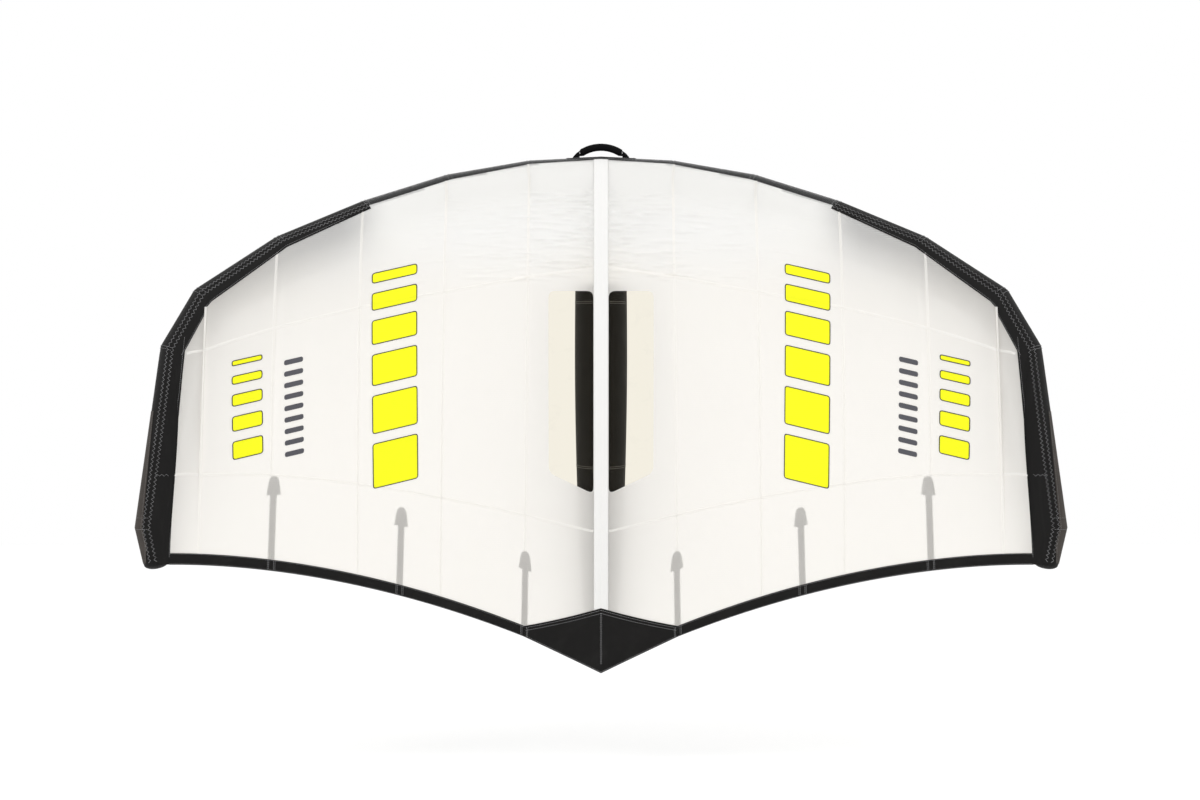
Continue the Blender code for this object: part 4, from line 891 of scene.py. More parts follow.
def make_centre_tape():
    shares = np.linspace(0.0, TAIL_APEX_SHARE + CENTRE_OVERLAP, CENTRE_ROWS)
    places, lifts = np.array(CENTRE_PROFILE).T
    places = places * CENTRE_TAPE_WIDTH / 2
    base, normal = raised(0, shares, BLACK_LEVEL)
    ending = np.clip((TAIL_APEX_SHARE - CENTRE_FADE_START - shares) / CENTRE_FADE, -1, 0)[:, None]
    heights = lifts[:, None, None] * (1 + ending) + CENTRE_END_DEPTH * ending
    points = base[None] + normal[None] * heights
    points[..., 0] = places[:, None]
    sag = (np.abs(places) / COLUMN_WIDTH / CENTRE_SAG_STATION)[:, None, None]
    beside = cloth(CENTRE_SAG_STATION, shares, BLACK_LEVEL)
    points[..., 1:] += (beside - base)[None, :, 1:] * sag
    made = grid_piece("centre_tape", points, WHITE, stands_for=["centre_seam"])
    for index in (1, 7):
        pale_thread.dashes(points[index] + normal * CENTRE_STITCH_LIFT, CENTRE_STITCH_RADIUS)
    return made


centre_tape = make_centre_tape()


def folded(name, node_name, stations, low, level, rows=8):
    """A black band over both faces of the canopy's edge, folded round it."""
    top, under = (layer(stations, low, 1, rows, side * level) for side in (1, -1))
    edge = cloth(stations, 1 + FOLD_REACH / length_at(stations))
    points = np.concatenate((top, edge[None], under[::-1]))
    return grid_piece(name, points, BLACK_CLOTH, stands_for=[node_name])


def sew(stations, shares, radius=THREAD_RADIUS, lift=0.0):
    """A straight seam in light thread on the canopy's upper side."""
    light_thread.dashes(cloth(stations, shares, THREAD_LEVEL + lift), radius)


def make_tip_cloth(word, side):
    """The panel behind the tube's end, whose inner edge is straight in the front view."""
    shares = np.linspace(0, 1, 60)
    inner = np.minimum(tip_start(shares), TIP_STATION - 0.02)
    inboard = inner[:, None] + (TIP_STATION - inner[:, None]) * np.array((0, 0.34, 0.67))
    outboard_shade = between(TIP_STATION, LAST_STATION, EDGE_PITCH)
    places = np.concatenate((inboard, np.broadcast_to(outboard_shade, (len(shares), len(outboard_shade)))), 1)
    panel = cloth(side * places, shares[:, None], BLACK_LEVEL)
    sew(side * (inner + TIP_SEAM_STATIONS)[2:-2], shares[2:-2], FINE_THREAD_RADIUS)
    return grid_piece(f"tip_cloth_{word}", panel[:, ::side], BLACK_CLOTH, stands_for=[f"tip_panel_{word}"])


def sew_tail():
    """Stitching round the tail patch and down its middle."""
    for _, side in SIDES:
        stations = np.linspace(0, side, 40)
        top = tail_share(stations)
        seams = [top + share for share in TAIL_SEAM_SHARES]
        for shares in (*seams, 1 - HEM_INSET / length_at(stations)):
            sew(stations, shares, lift=TAIL_LIFT)
        sew(side * TAIL_MIDDLE_STATION, np.linspace(TAIL_APEX_SHARE + 0.01, 0.985, 60), lift=TAIL_LIFT)


def make_edges():
    made = {}
    for word, side in SIDES:
        stations = np.sort(side * between(1, TIP_STATION, EDGE_PITCH))
        low = band_share(stations)
        band = (f"edge_band_{word}", f"trailing_edge_band_{word}")
        made["band", word] = folded(*band, stations, low, BLACK_LEVEL)
        outer = np.sort(side * between(BLACK_STATION, TIP_STATION, EDGE_PITCH))
        made["strip", word] = grid_piece(
            f"edge_strip_{word}", layer(outer, 0, strip_share(outer), 8, BLACK_LEVEL), BLACK_CLOTH,
            stands_for=[f"leading_edge_strip_{word}"],
        )
        made["tip", word] = make_tip_cloth(word, side)
        for share in BAND_SEAMS:
            shares = low + share * BAND_WIDTH / length_at(stations) + BAND_SEAM_STEP
            sew(stations, shares, FINE_THREAD_RADIUS)
    stations = between(-1, 1, EDGE_PITCH)
    low = tail_share(stations)
    made["tail"] = folded("tail_cloth", "tail_patch", stations, low, BLACK_LEVEL + TAIL_LIFT, 30)
    sew_tail()
    return made


edges = make_edges()


# Tubes

TUBE_SIDES = 72
SKIN_GAP, THREAD_GAP = -0.0002, 0.0005
MITRE_PINCH, MITRE_REACH = 0.0008, 0.035
MITRE_STEPS = (-0.06, -0.03, 0.03, 0.06)
# Where the painted light on the tube's hidden side starts and ends, in degrees round the tube.
PAINTED_LIGHT_MARGIN, PAINTED_LIGHT_END = 3, 285
MITRE_STITCH, MITRE_DASHES = 0.0060, (0.005, 0.0015)
ZIGZAG = (0.0085, 0.0135)
ZIGZAG_RADIUS = 0.0008
JOINT_STITCH_INSET, TUBE_STITCH_INSET, STRIP_HEM = 0.005, 0.014, 0.006
REAR_SEAM_END_X, REAR_SEAM_END_Z = (1.342, 1.384), -1.046
SCUFF_ANGLES = ((6.36, 50), (7.0, 20), (7.5, 18), (7.95, 40))
SCUFF_LAST_ANGLE, SCUFF_GAP = 150, 0.0009


def skin(stations):
    """Rings of the leading edge tube at its stations, drawn in a little at each mitre."""
    angles = 360 * np.arange(TUBE_SIDES) / TUBE_SIDES
    draws = [MITRE_PINCH * math.exp(-((s - round(s)) / MITRE_REACH) ** 2) for s in stations]
    return np.array([EDGE.point(s, angles, SKIN_GAP - draw) for s, draw in zip(stations, draws)])


def dome(rim, along, depth, turns=8):
    """Rings that close a tube's end with a shallow dome."""
    centre = rim.mean(0)
    return [
        centre + (rim - centre) * math.cos(turn) + along * math.sin(turn) * depth
        for turn in np.radians(np.linspace(0, 89, turns)[1:])
    ]


def tube_stations(start, end, pitch=1 / 18):
    near = [s + step for s in range(math.ceil(start), math.floor(end) + 1) for step in MITRE_STEPS]
    return np.array(sorted(set(between(start, end, pitch)) | {s for s in near if start < s < end}))


def paint_light_behind_canopy(piece, stations):
    """Paints light on the tube's side behind the canopy: a pale colour, so that less shade shows through the
    cloth.
    """
    for face in piece.data.polygons:
        row, side = divmod(face.index, TUBE_SIDES)
        angle = 360 * (side + 0.5) / TUBE_SIDES
        if row < len(stations) - 1:
            joint = at_station(JOINT_ANGLES, stations[row])
            face.material_index = int(angle < joint - PAINTED_LIGHT_MARGIN or angle > PAINTED_LIGHT_END)


def make_edge_tube():
    made = {}
    middle = tube_stations(LAST_STATION - BLACK_STATION, LAST_STATION + BLACK_STATION)
    made["middle"] = grid_piece(
        "edge_tube_middle", skin(middle), [GREY_CLOTH, PAINTED_LIGHT_CLOTH], closed=True, flip=True,
        stands_for=["leading_edge_casing_middle", "leading_edge_bladder"],
    )
    paint_light_behind_canopy(made["middle"], middle - LAST_STATION)
    for word, side in SIDES:
        stations = tube_stations(BLACK_STATION, LAST_STATION)
        rings = skin(LAST_STATION + side * stations)
        before, end = (EDGE.centres[LAST_STATION + side * s] for s in (LAST_STATION - 1, LAST_STATION))
        rings = np.concatenate((rings, dome(rings[-1], unit(end - before), TIP_DOME_DEPTH)))
        made[word] = grid_piece(
            f"edge_tube_{word}", rings, [BLACK_CLOTH, PAINTED_LIGHT_CLOTH], closed=True, flip=side > 0,
            stands_for=[f"leading_edge_casing_{word}"],
        )
        paint_light_behind_canopy(made[word], stations)
    return made


edge_tubes = make_edge_tube()


def make_scuff_guard(word, side):
    """A worn brownish cloth over a tip's outer side, from forward of its corner to the end."""
    stations = np.array(sorted(set(np.linspace(SCUFF_ANGLES[0][0], SCUFF_ANGLES[-1][0], 24)) | {7.0}))
    near = np.interp(stations, *zip(*SCUFF_ANGLES))
    rows = np.array([
        EDGE.point(LAST_STATION + side * station, np.linspace(angle, SCUFF_LAST_ANGLE, 20), SCUFF_GAP)
        for station, angle in zip(stations, near)
    ])
    for column in (1, -2):
        light_thread.dashes(rows[:, column], THREAD_RADIUS / 2)
    return grid_piece(f"scuff_guard_{word}", rows, SCUFF_CLOTH, flip=side > 0)


scuff_guards = {word: make_scuff_guard(word, side) for word, side in SIDES}


def stitch_tube():
    """Double stitching round each mitre, and zigzags along the joint with the canopy."""
    for _, side in SIDES:
        for station in range(1, LAST_STATION):
            place = LAST_STATION + side * station
            length = np.linalg.norm(EDGE.centres[place + side] - EDGE.centres[place])
            angles = at_station(JOINT_ANGLES, station) + np.linspace(1, 150, 90)
            for offset in (-MITRE_STITCH, MITRE_STITCH):
                ring = EDGE.point(place + offset / length, angles, THREAD_GAP)
                light_thread.dashes(ring, THREAD_RADIUS, *MITRE_DASHES)
        stations = between(BLACK_STATION, LAST_STATION - 0.05, 1 / 20)
        seam = raised(side * stations, JOINT_STITCH_INSET / length_at(stations))
        light_thread.zigzag(*seam, *ZIGZAG, ZIGZAG_RADIUS)
        radii = at_station(STATION_RADIUS_SHARES, stations) * TUBE_RADIUS
        angles = at_station(JOINT_ANGLES, stations) + np.degrees(TUBE_STITCH_INSET / radii)
        path, above = (
            np.array([EDGE.point(LAST_STATION + side * s, a, gap) for s, a in zip(stations, angles)])
            for gap in (THREAD_GAP, THREAD_GAP + 0.01)
        )
        light_thread.zigzag(path, above - path, *ZIGZAG, ZIGZAG_RADIUS)
        stations = between(BLACK_STATION + 0.3, TIP_STATION - 0.15, 1 / 20)
        sew(side * stations, strip_share(stations) - STRIP_HEM / length_at(stations), FINE_THREAD_RADIUS)
        end = on_cloth(np.linspace(*REAR_SEAM_END_X, 12) * side, np.full(12, REAR_SEAM_END_Z), THREAD_LEVEL)
        light_thread.zigzag(end, np.tile((0, -1, 0), (12, 1)), 0.7 * ZIGZAG[0], ZIGZAG[1], THREAD_RADIUS)


stitch_tube()

STRUT_SIDES = 56
STRUT_JOINT_SHARE, STRUT_JOINT_GAP = 0.17, 0.0008
# How far down the chord the strut's painted light reaches.
STRUT_PAINTED_LIGHT_SHARE = 0.250
STRUT_SEAM_SHARES, STRUT_SEAM_GAP = (0.285, 0.2885, 0.60, 0.6035), 0.0004
STRUT_JOINT_ROWS, STRUT_ROWS = 11, 89


def strut_radius(share):
    if share < STRUT_WIDEST_SHARE:
        away = (STRUT_WIDEST_SHARE - share) / STRUT_WIDEST_SHARE
        return STRUT_RADIUS - (STRUT_RADIUS - STRUT_FRONT_RADIUS) * away ** 2
    away = (share - STRUT_WIDEST_SHARE) / (STRUT_END_SHARE - STRUT_WIDEST_SHARE)
    full = math.sqrt(1 - min(away, 1) ** STRUT_TAPER_POWER)
    return STRUT_TAIL_RADIUS + (STRUT_RADIUS - STRUT_TAIL_RADIUS) * full


def make_strut_path(count):
    """The strut's rings under the canopy's middle, and the share of the chord that each is at."""
    shares = np.linspace(STRUT_START_SHARE, STRUT_END_SHARE, count)
    radii = [strut_radius(share) for share in shares]
    top, normals = raised(0, shares, 0)
    return Tube(top - normals * (np.array(radii) + UNDER_GAP)[:, None], radii), shares


STRUT, STRUT_SHARES = make_strut_path(STRUT_SECTIONS + 1)


def strut_station(share, shares=STRUT_SHARES):
    return float(np.interp(share, shares, range(len(shares))))


def outside_edge(point):
    """How far a point lies outside the leading edge tube near its middle."""
    gaps = []
    for index in (LAST_STATION - 1, LAST_STATION):
        start, end = EDGE.centres[index], EDGE.centres[index + 1]
        t = np.clip((point - start) @ (end - start) / ((end - start) @ (end - start)), 0, 1)
        radius = (1 - t) * EDGE.radii[index] + t * EDGE.radii[index + 1]
        gaps.append(np.linalg.norm(point - start - t * (end - start)) - radius)
    return min(gaps)


def leaving_station(angle, clear):
    """Where a line along the strut leaves the leading edge tube, found by halving."""
    inside, outside = 0.0, clear
    for _ in range(18):
        middle = (inside + outside) / 2
        if outside_edge(STRUT.point(middle, angle)) > STRUT_JOINT_GAP:
            outside = middle
        else:
            inside = middle
    return outside


def make_strut():
    angles = 360 * np.arange(STRUT_SIDES) / STRUT_SIDES
    clear = strut_station(STRUT_JOINT_SHARE)
    starts = [leaving_station(angle, clear) for angle in angles]
    rings = [
        [STRUT.point(start + (clear - start) * u, angle, SKIN_GAP) for start, angle in zip(starts, angles)]
        for u in np.linspace(0, 1, STRUT_JOINT_ROWS + 1)
    ]
    rest = np.linspace(clear, STRUT_SECTIONS, STRUT_ROWS + 1)[1:]
    rings += [STRUT.point(station, angles, SKIN_GAP) for station in rest]
    made = grid_piece(
        "strut_tube", rings, [BLACK_CLOTH, PAINTED_LIGHT_CLOTH], closed=True, flip=True,
        stands_for=["strut_casing", "strut_bladder"],
    )
    # Painted light: the strut's front part behind the canopy is pale all round, so that less shade shows
    # through the cloth.
    painted_light_part = (strut_station(STRUT_PAINTED_LIGHT_SHARE) - clear) / (STRUT_SECTIONS - clear)
    for face in made.data.polygons:
        face.material_index = int(face.index // STRUT_SIDES < STRUT_JOINT_ROWS + STRUT_ROWS * painted_light_part)
    for share in STRUT_SEAM_SHARES:
        ring = STRUT.point(strut_station(share), np.linspace(-180, 180, 120), STRUT_SEAM_GAP)
        light_thread.dashes(ring, THREAD_RADIUS)
    return made


strut_tube = make_strut()


# Batten pockets, seen through the canopy

POCKET_HALF_WIDTH = 0.011
POCKET_HEAD = (
    (0, 0.003), (0.002, 0.008), (0.006, 0.0125), (0.012, 0.0155), (0.020, 0.0175), (0.040, 0.0205),
    (0.060, 0.0235), (POCKET_HEAD_LENGTH, POCKET_HALF_WIDTH),
)
POCKET_LEVELS = np.array((-0.0008, -0.0022, -0.0031, -0.0022, -0.0008))
POCKET_END_GAP = 0.002
POCKET_THREAD_RADIUS, POCKET_STITCH_LIFT = 0.00035, 0.0003
POCKET_HEM_START, POCKET_STITCH_PLACES = 0.004, (-0.8, 0.8)
END_STITCH_REACH = 0.0022


def make_pocket(name, side, station):
    """A bullet-headed sleeve of mesh sewn under the canopy, from its head to the trailing edge."""
    full, top = length_at(station), pocket_top(station)
    stem = np.linspace(POCKET_HEAD_LENGTH, full - top - POCKET_END_GAP, 24)[1:]
    rows = list(POCKET_HEAD) + [(down, POCKET_HALF_WIDTH) for down in stem]
    downs, halves = np.array(rows).T
    shares = (top + downs) / full
    start, end = cloth(np.array((station - 0.05, station + 0.05)), band_share(station))
    pitch = np.linalg.norm(end - start) / 0.1
    halves = halves / pitch
    places = side * station + halves[:, None] * np.linspace(-1, 1, 5)
    made = grid_piece(
        "pocket_cloth_" + name, cloth(places, shares[:, None], POCKET_LEVELS), POCKET,
        stands_for=["batten_pocket_" + name],
    )
    hem = downs > POCKET_HEM_START
    for edge in POCKET_STITCH_PLACES:
        path = cloth(side * station + halves[hem] * edge, shares[hem], CLOTH_LEVEL + POCKET_STITCH_LIFT)
        pale_thread.dashes(path, POCKET_THREAD_RADIUS)
    down = np.linspace(band_share(station) + POCKET_END_GAP, 0.9975, 14)
    for edge in (0.93 * POCKET_HALF_WIDTH, -0.93 * POCKET_HALF_WIDTH):
        for shift in (-END_STITCH_REACH, END_STITCH_REACH):
            sew(side * station + (edge + shift) / pitch, down)
    return made


for number, station in enumerate(BATTENS, 1):
    for word, side in SIDES:
        make_pocket(f"{number}_{word}", side, station)


# Handle on the leading edge

HANDLE_HALF_SPAN = 0.078
HANDLE_CURVE_RADIUS = 0.118
CORE_RADIUS, CORE_THINNING = 0.005, 0.0007
CORE_REACH, CORE_STRAIGHT, CORE_END_EASE = 0.0808, 0.065, 0.002
SLEEVE_RADIUS = 0.0115
SLEEVE_END_RADIUS = 0.0060
SLEEVE_INSET = 0.0125
SLEEVE_END = ((0.0, 0.0028), (0.55, 0.0022), (0.85, 0.0010))
EYE_LIFT, TAB_FOOT_GAP = 0.0084, 0.0006
TAB_REACH, TAB_LOW_HEIGHT = 0.0092, 0.012
TAB_HEIGHTS = (
    (0.0697, 0.0205), (0.0700, 0.0215), (0.0710, 0.0213), (0.0730, 0.0202), (0.0760, 0.0181),
    (0.0790, 0.0158), (0.0820, 0.0132), (0.0850, 0.0100), (0.0880, 0.0064), (0.0905, 0.0034),
    (0.0920, 0.0008),
)
WEBBING_THREAD = (0.003, 0.0012)
WEBBING_STITCH_LIFT, SLEEVE_THREAD_RADIUS, TAB_THREAD_RADIUS = 0.0004, 0.0003, 0.0004
CORE_LOW, CORE_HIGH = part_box("edge_handle_core")
PIVOT_Z = CORE_LOW[2] + CORE_RADIUS


def bent_rod(path, turns, reach):
    """Rings round a path in the XZ plane, with a reach at each point and turn, and its directions."""
    along = unit(np.gradient(path, axis=0))
    up = np.stack((-along[:, 2], np.zeros(len(path)), along[:, 0]), 1)
    rings = path[:, None] + (reach * np.cos(turns))[..., None] * up[:, None]
    return rings + (reach * np.sin(turns))[..., None] * np.array((0, 1, 0)), along


def make_core():
    """The webbing loop inside the sleeve, whose rolled ends turn in the tabs."""
    xs = np.linspace(-CORE_REACH, CORE_REACH, 73)
    rise = (1 - np.minimum(np.abs(xs) / CORE_STRAIGHT, 1) ** 2) ** 1.3
    crown = CORE_HIGH[2] - CORE_RADIUS - PIVOT_Z
    path = np.stack((xs, np.zeros_like(xs), PIVOT_Z + crown * rise), 1)
    ease = np.sqrt(np.clip((CORE_REACH - np.abs(xs)) / CORE_END_EASE, 0, 1)) * 0.98 + 0.02
    radius = (CORE_RADIUS - CORE_THINNING * (np.abs(xs) > CORE_STRAIGHT)) * ease
    rings, _ = bent_rod(path, 2 * math.pi * np.arange(20) / 20, radius[:, None])
    stands_for = ["edge_handle_core"]
    grid_piece("handle_core", rings, WEBBING, closed=True, body="edge_handle", stands_for=stands_for)


def make_sleeve():
    """A padded sleeve on one even curve, drawn in at its ends to clear the tube as it swings."""
    top_z = CORE_HIGH[2] - CORE_RADIUS + SLEEVE_RADIUS
    reach = HANDLE_HALF_SPAN - SLEEVE_INSET
    xs = np.linspace(-reach, reach, 61)
    outer = top_z - HANDLE_CURVE_RADIUS + np.sqrt(HANDLE_CURVE_RADIUS ** 2 - xs ** 2)
    radius = np.minimum(SLEEVE_RADIUS, (SLEEVE_END_RADIUS + 0.7 * (outer - PIVOT_Z)) / 1.7)
    path = np.stack((xs, np.zeros_like(xs), outer - radius), 1)
    turns = 2 * math.pi * np.arange(32) / 32
    ridge = 1 + 0.04 * np.cos(2 * turns) - 0.06 * np.exp(-((turns - math.pi * 1.5) / 0.10) ** 2)
    rings, along = bent_rod(path, turns, radius[:, None] * ridge * (1 + 0.010 * np.sin(xs * 520)[:, None]))
    caps = []
    for ring, away in ((rings[0], -along[0]), (rings[-1], along[-1])):
        centre = ring.mean(0)
        caps.append([centre + (ring - centre) * share + away * out for share, out in SLEEVE_END])
    made = grid_piece(
        "handle_sleeve", np.array(caps[0] + list(rings) + caps[1][::-1]), SLEEVE_CLOTH, closed=True,
        body="edge_handle", slot="grip_foam", stands_for=["edge_handle_sleeve"],
    )
    seam = Strands()
    under = path + np.array((0, -1, 0)) * (radius * 0.93 + WEBBING_STITCH_LIFT)[:, None]
    seam.dashes(under, SLEEVE_THREAD_RADIUS, *WEBBING_THREAD)
    seam.piece("handle_seam", WEBBING, "edge_handle")


def make_handle_tab(word, side):
    """A webbing tab folded over the loop's rolled end, sloping down to the tube at its outer end."""
    base = PIVOT_Z - EYE_LIFT - TAB_FOOT_GAP
    turns = np.radians(np.linspace(0, 180, 17))
    rings = []
    for x, height in TAB_HEIGHTS:
        reach = TAB_REACH * min(1, 0.45 + 0.55 * (height / TAB_LOW_HEIGHT))
        y, z = np.cos(turns) * reach, base + np.sin(turns) ** 0.65 * height
        y[0], y[-1] = 1.2 * reach, -1.2 * reach
        rings.append(np.stack((np.full(17, side * x), y, z), 1))
    grid_piece(
        f"handle_tab_{word}", rings, SLEEVE_CLOTH, closed=True, flip=side < 0,
        stands_for=[f"edge_handle_tab_{word}"],
    )
    for index in (2, 6):
        path = rings[index][2:-2] + (0, 0, WEBBING_STITCH_LIFT)
        dark_thread.dashes(path, TAB_THREAD_RADIUS, *WEBBING_THREAD)


make_core()
make_sleeve()
for word, side in SIDES:
    make_handle_tab(word, side)

PATCH_GAP, PATCH_THICKNESS, PATCH_RIM = 0.0004, 0.0009, 0.0001
PATCH_HEM_LIFT, PATCH_THREAD_RADIUS = 0.0004, 0.0005
PATCH_ROUNDED_SHARE, PATCH_NARROWING = 0.1, 0.10
PATCH_HEMS, PATCH_END_HEM = (0.06, 0.94), 0.88
HANDLE_PATCH_REACH = (HANDLE_HALF_SPAN + 0.030) / COLUMN_WIDTH
HANDLE_PATCH_ANGLES = (74, 106)
STRUT_PATCH_SHARES, STRUT_PATCH_ANGLES = (0.190, 0.745), (132, 228)


def tube_patch(name, node_name, tube, stations, angles, finish):
    """A patch on a tube's skin with rounded corners and a rim turned down to the skin."""
    middle = (angles[0] + angles[-1]) / 2
    ends = np.abs(np.linspace(-1, 1, len(stations)))
    near = np.maximum(0, ends - (1 - PATCH_ROUNDED_SHARE)) / PATCH_ROUNDED_SHARE
    places = list(zip(stations, 1 - PATCH_NARROWING * near ** 2))
    low, high = PATCH_GAP + PATCH_RIM, PATCH_GAP + PATCH_THICKNESS
    rims = [tube.point(stations[end], angles, low)[None] for end in (0, -1)]
    rows = np.array([tube.point(s, middle + (angles - middle) * narrow, high) for s, narrow in places])
    points = np.concatenate((rims[0], rows, rims[1]))
    sides = []
    for index in (0, -1):
        side = [tube.point(s, middle + (angles[index] - middle) * narrow, low) for s, narrow in places]
        sides.append(np.array([points[0, index], *side, points[-1, index]])[:, None])
    points = np.concatenate((sides[0], points, sides[1]), 1)
    hem = []
    for step in PATCH_HEMS:
        angle = angles[0] + (angles[-1] - angles[0]) * step
        hem.append(np.array([tube.point(s, angle, high + PATCH_HEM_LIFT) for s in stations[1:-1]]))
    for end in (1, -2):
        across = middle + (angles - middle) * PATCH_END_HEM
        hem.append(tube.point(stations[end], across, high + PATCH_HEM_LIFT))
    for path in hem:
        light_thread.dashes(path, PATCH_THREAD_RADIUS)
    return grid_piece(name, points, finish, flip=True, stands_for=[node_name])


edge_patch = tube_patch(
    "handle_patch", "edge_handle_patch", EDGE, LAST_STATION + np.linspace(-1, 1, 41) * HANDLE_PATCH_REACH,
    np.linspace(*HANDLE_PATCH_ANGLES, 17), WEBBING,
)
strut_patch = tube_patch(
    "strut_patch", "strut_handle_patch", STRUT, np.linspace(*map(strut_station, STRUT_PATCH_SHARES), 90),
    np.linspace(*STRUT_PATCH_ANGLES, 33), GREY_CLOTH,
)


# Rigid parts of the CAD: their finishes, bolts in the feet and ridges on the grips

FINISHES = {
    WEBBING: ["leash_tab"],
    STEEL: ["leash_ring"],
    HOSE: ["inflation_hose"],
    GREY_PLASTIC: ["edge_hose_port", "strut_hose_port", "valve_flange", "hose_clip_lever"],
    BLACK_PLASTIC: ["valve_insert", "valve_cap", "strut_tail_cap", "hose_clip_body"],
    COMPOSITE: ["front_handle_bar", "rear_handle_bar"],
    BLADDER: ["leading_edge_bladder", "strut_bladder"],
    BATTEN: [f"batten_{number}_{word}" for number in (1, 2, 3) for word, _ in SIDES],
}
for word in ("front", "rear"):
    FINISHES[BLACK_PLASTIC] += [f"{word}_handle_{end}_base" for end in ("fore", "aft")]
for finish, names in FINISHES.items():
    for name in names:
        for slot in bpy.data.objects[name].material_slots:
            slot.material = finish

FOOT_SHARES = {"front": (0.235, 0.420), "rear": (0.500, 0.700)}
FOOT_SECTIONS = 14
FOOT_LIFT = 0.0018
FOOT_HEIGHT = 0.020
BOLT_REACH = 0.029
BOLT_PROFILE = (
    (0.0, -0.0003), (0.0026, -0.0003), (0.0030, -0.0026), (0.0036, -0.0026),
    (0.0038, 0.0), (0.0056, -0.0002), (0.0061, -0.0010), (0.0061, -0.0036),
)
STAND_OFF = 0.082
BEND_RADIUS, GRIP_END_GAP = 0.040, 0.012
GRIP_RADIUS, BAR_RADIUS, GRIP_CLEARANCE = 0.0165, 0.0125, 0.0004
GRIP_CHAMFERS = ((0.0016, 0.0), (0.0003, 0.0016), (0.0, 0.004))
GRIP_SIDES, GRIP_FLUTES, FLUTE_DEPTH = 64, 32, 0.02
GROOVE_PITCH, GROOVES_START, GROOVES_END = 0.006, 0.010, 0.008
GROOVE_PROFILE = ((0.0, 0.0012), (0.0008, 0.0), (0.0, -0.0012))


def turned(name, profile, seat, finish, sides, flutes=0, depth=0.0, **more):
    """A profile of (radius, height) points turned about a seat's last direction."""
    origin, first, second, away = seat
    turns = 2 * math.pi * np.arange(sides)[:, None] / sides
    wave = 1 - depth * (0.5 + 0.5 * np.cos(flutes * turns))
    spokes = wave * (np.cos(turns) * first + np.sin(turns) * second)
    rings = [origin + height * away + radius * spokes for radius, height in profile]
    return grid_piece(name, rings, finish, closed=True, flip=True, **more)


def foot_seats():
    """The handles' feet on the same polyline of rings that the CAD's strut has."""
    path, shares = make_strut_path(FOOT_SECTIONS)
    return {
        word: [path.seat(strut_station(share, shares), 180, FOOT_LIFT) for share in pair]
        for word, pair in FOOT_SHARES.items()
    }


def make_bolts(word, seats):
    for place, (origin, along, across, away) in zip(("fore", "aft"), seats):
        for letter, end in (("a", -1), ("b", 1)):
            middle = origin + away * FOOT_HEIGHT + along * end * BOLT_REACH
            turned(f"bolt_{word}_{place}_{letter}", BOLT_PROFILE, (middle, along, across, away), STEEL, 24)


def make_grip(word, seats):
    ends = [origin + away * STAND_OFF for origin, _, _, away in seats]
    line = ends[1] - ends[0]
    length = np.linalg.norm(line)
    half = length / 2 - BEND_RADIUS - GRIP_END_GAP
    away = line / length
    first = unit(np.cross(away, (0, 1, 0)))
    seat = (ends[0] + line / 2, first, np.cross(away, first), away)
    start = [(BAR_RADIUS + GRIP_CLEARANCE, half)]
    start += [(GRIP_RADIUS - cut, half - down) for cut, down in GRIP_CHAMFERS]
    profile = list(start)
    for height in np.arange(half - GROOVES_START, -half + GROOVES_END, -GROOVE_PITCH):
        profile += [(GRIP_RADIUS - depth, height + step) for depth, step in GROOVE_PROFILE]
    profile += [(radius, -height) for radius, height in start[::-1]]
    ribs = (GRIP_SIDES, GRIP_FLUTES, FLUTE_DEPTH)
    turned(f"{word}_grip", profile, seat, FOAM, *ribs, stands_for=[f"{word}_handle_grip"])


FEET = foot_seats()
for make_fitting in (make_bolts, make_grip):
    for word, seats in FEET.items():
        make_fitting(word, seats)


# Stage, light and camera

FLOOR_Z, FLOOR_REACH = -2.02, 14
LAMPS = (
    ("key", (-3.5, -5.5, 4.0), 3.5, 130),
    ("fill", (4.5, -4.5, 1.5), 3.0, 45),
)
LAMP_TARGET = (0, 0, -0.8)
CAMERA_PLACE = (-0.0033, -8.994, -0.8126)
CAMERA_LENS = 82.74


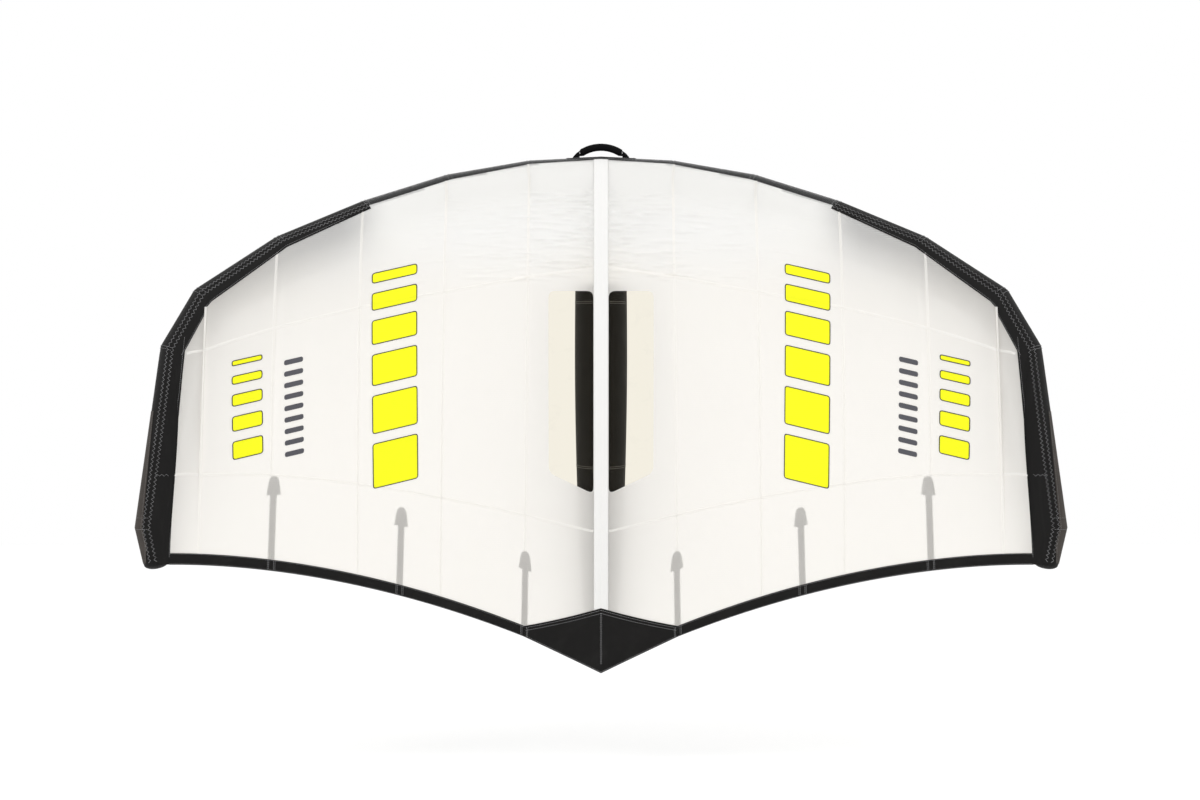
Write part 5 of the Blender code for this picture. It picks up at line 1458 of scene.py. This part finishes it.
def make_stage():
    floor = bpy.data.meshes.new("floor")
    places = [(x * FLOOR_REACH, -y * FLOOR_REACH, FLOOR_Z) for x, y in CORNERS]
    floor.from_pydata(places, [], [(0, 1, 2, 3)])
    made, tree = new_material("floor_white")
    grain = noise(tree, object_place(tree), 4, 2)
    shade = blend_colours(tree, grain, (0.96, 0.96, 0.96), (0.95, 0.95, 0.95))
    glow = ramp(tree, node(tree, "LightPath").outputs["Is Camera Ray"], 0, 1, 0.0, 0.10)
    close(tree, node(tree, "BsdfPrincipled", {
        "Base Color": shade, "Roughness": 0.9, "Specular IOR Level": 0.1,
        "Emission Color": (1, 1, 1, 1), "Emission Strength": glow,
    }).outputs[0])
    floor.materials.append(made)
    piece = bpy.data.objects.new("floor", floor)
    bpy.context.scene.collection.objects.link(piece)


def make_light():
    world = bpy.data.worlds.new("studio")
    bpy.context.scene.world = world
    world.use_nodes = True
    tree = world.node_tree
    tree.nodes.clear()
    rays = node(tree, "LightPath").outputs
    seen = maths(tree, "MAXIMUM", rays["Is Camera Ray"], rays["Is Glossy Ray"])
    seen = maths(tree, "MAXIMUM", seen, rays["Is Transmission Ray"])
    sky = node(tree, "Background", {"Color": (1, 1, 1, 1), "Strength": ramp(tree, seen, 0, 1, 0.95, 1.0)})
    node(tree, "OutputWorld", {"Surface": sky.outputs[0]})
    for name, place, size, power in LAMPS:
        lamp = bpy.data.lights.new(name, "AREA")
        lamp.energy = power
        lamp.size = size
        made = bpy.data.objects.new(name, lamp)
        made.location = place
        made.rotation_euler = (Vector(LAMP_TARGET) - Vector(place)).to_track_quat("-Z", "Y").to_euler()
        bpy.context.scene.collection.objects.link(made)


def make_camera():
    lens = bpy.data.cameras.new("camera")
    lens.lens = CAMERA_LENS
    lens.sensor_width = 36
    lens.clip_end = 100
    made = bpy.data.objects.new("camera", lens)
    made.location = CAMERA_PLACE
    made.rotation_euler = (math.radians(90), 0, 0)
    bpy.context.scene.collection.objects.link(made)
    bpy.context.scene.camera = made
    bpy.context.scene.view_settings.view_transform = "Standard"


make_stage()
make_light()
make_camera()
light_thread.piece("stitches", THREAD)
pale_thread.piece("seam_stitches", PALE_THREAD)
dark_thread.piece("tab_stitches", WEBBING)
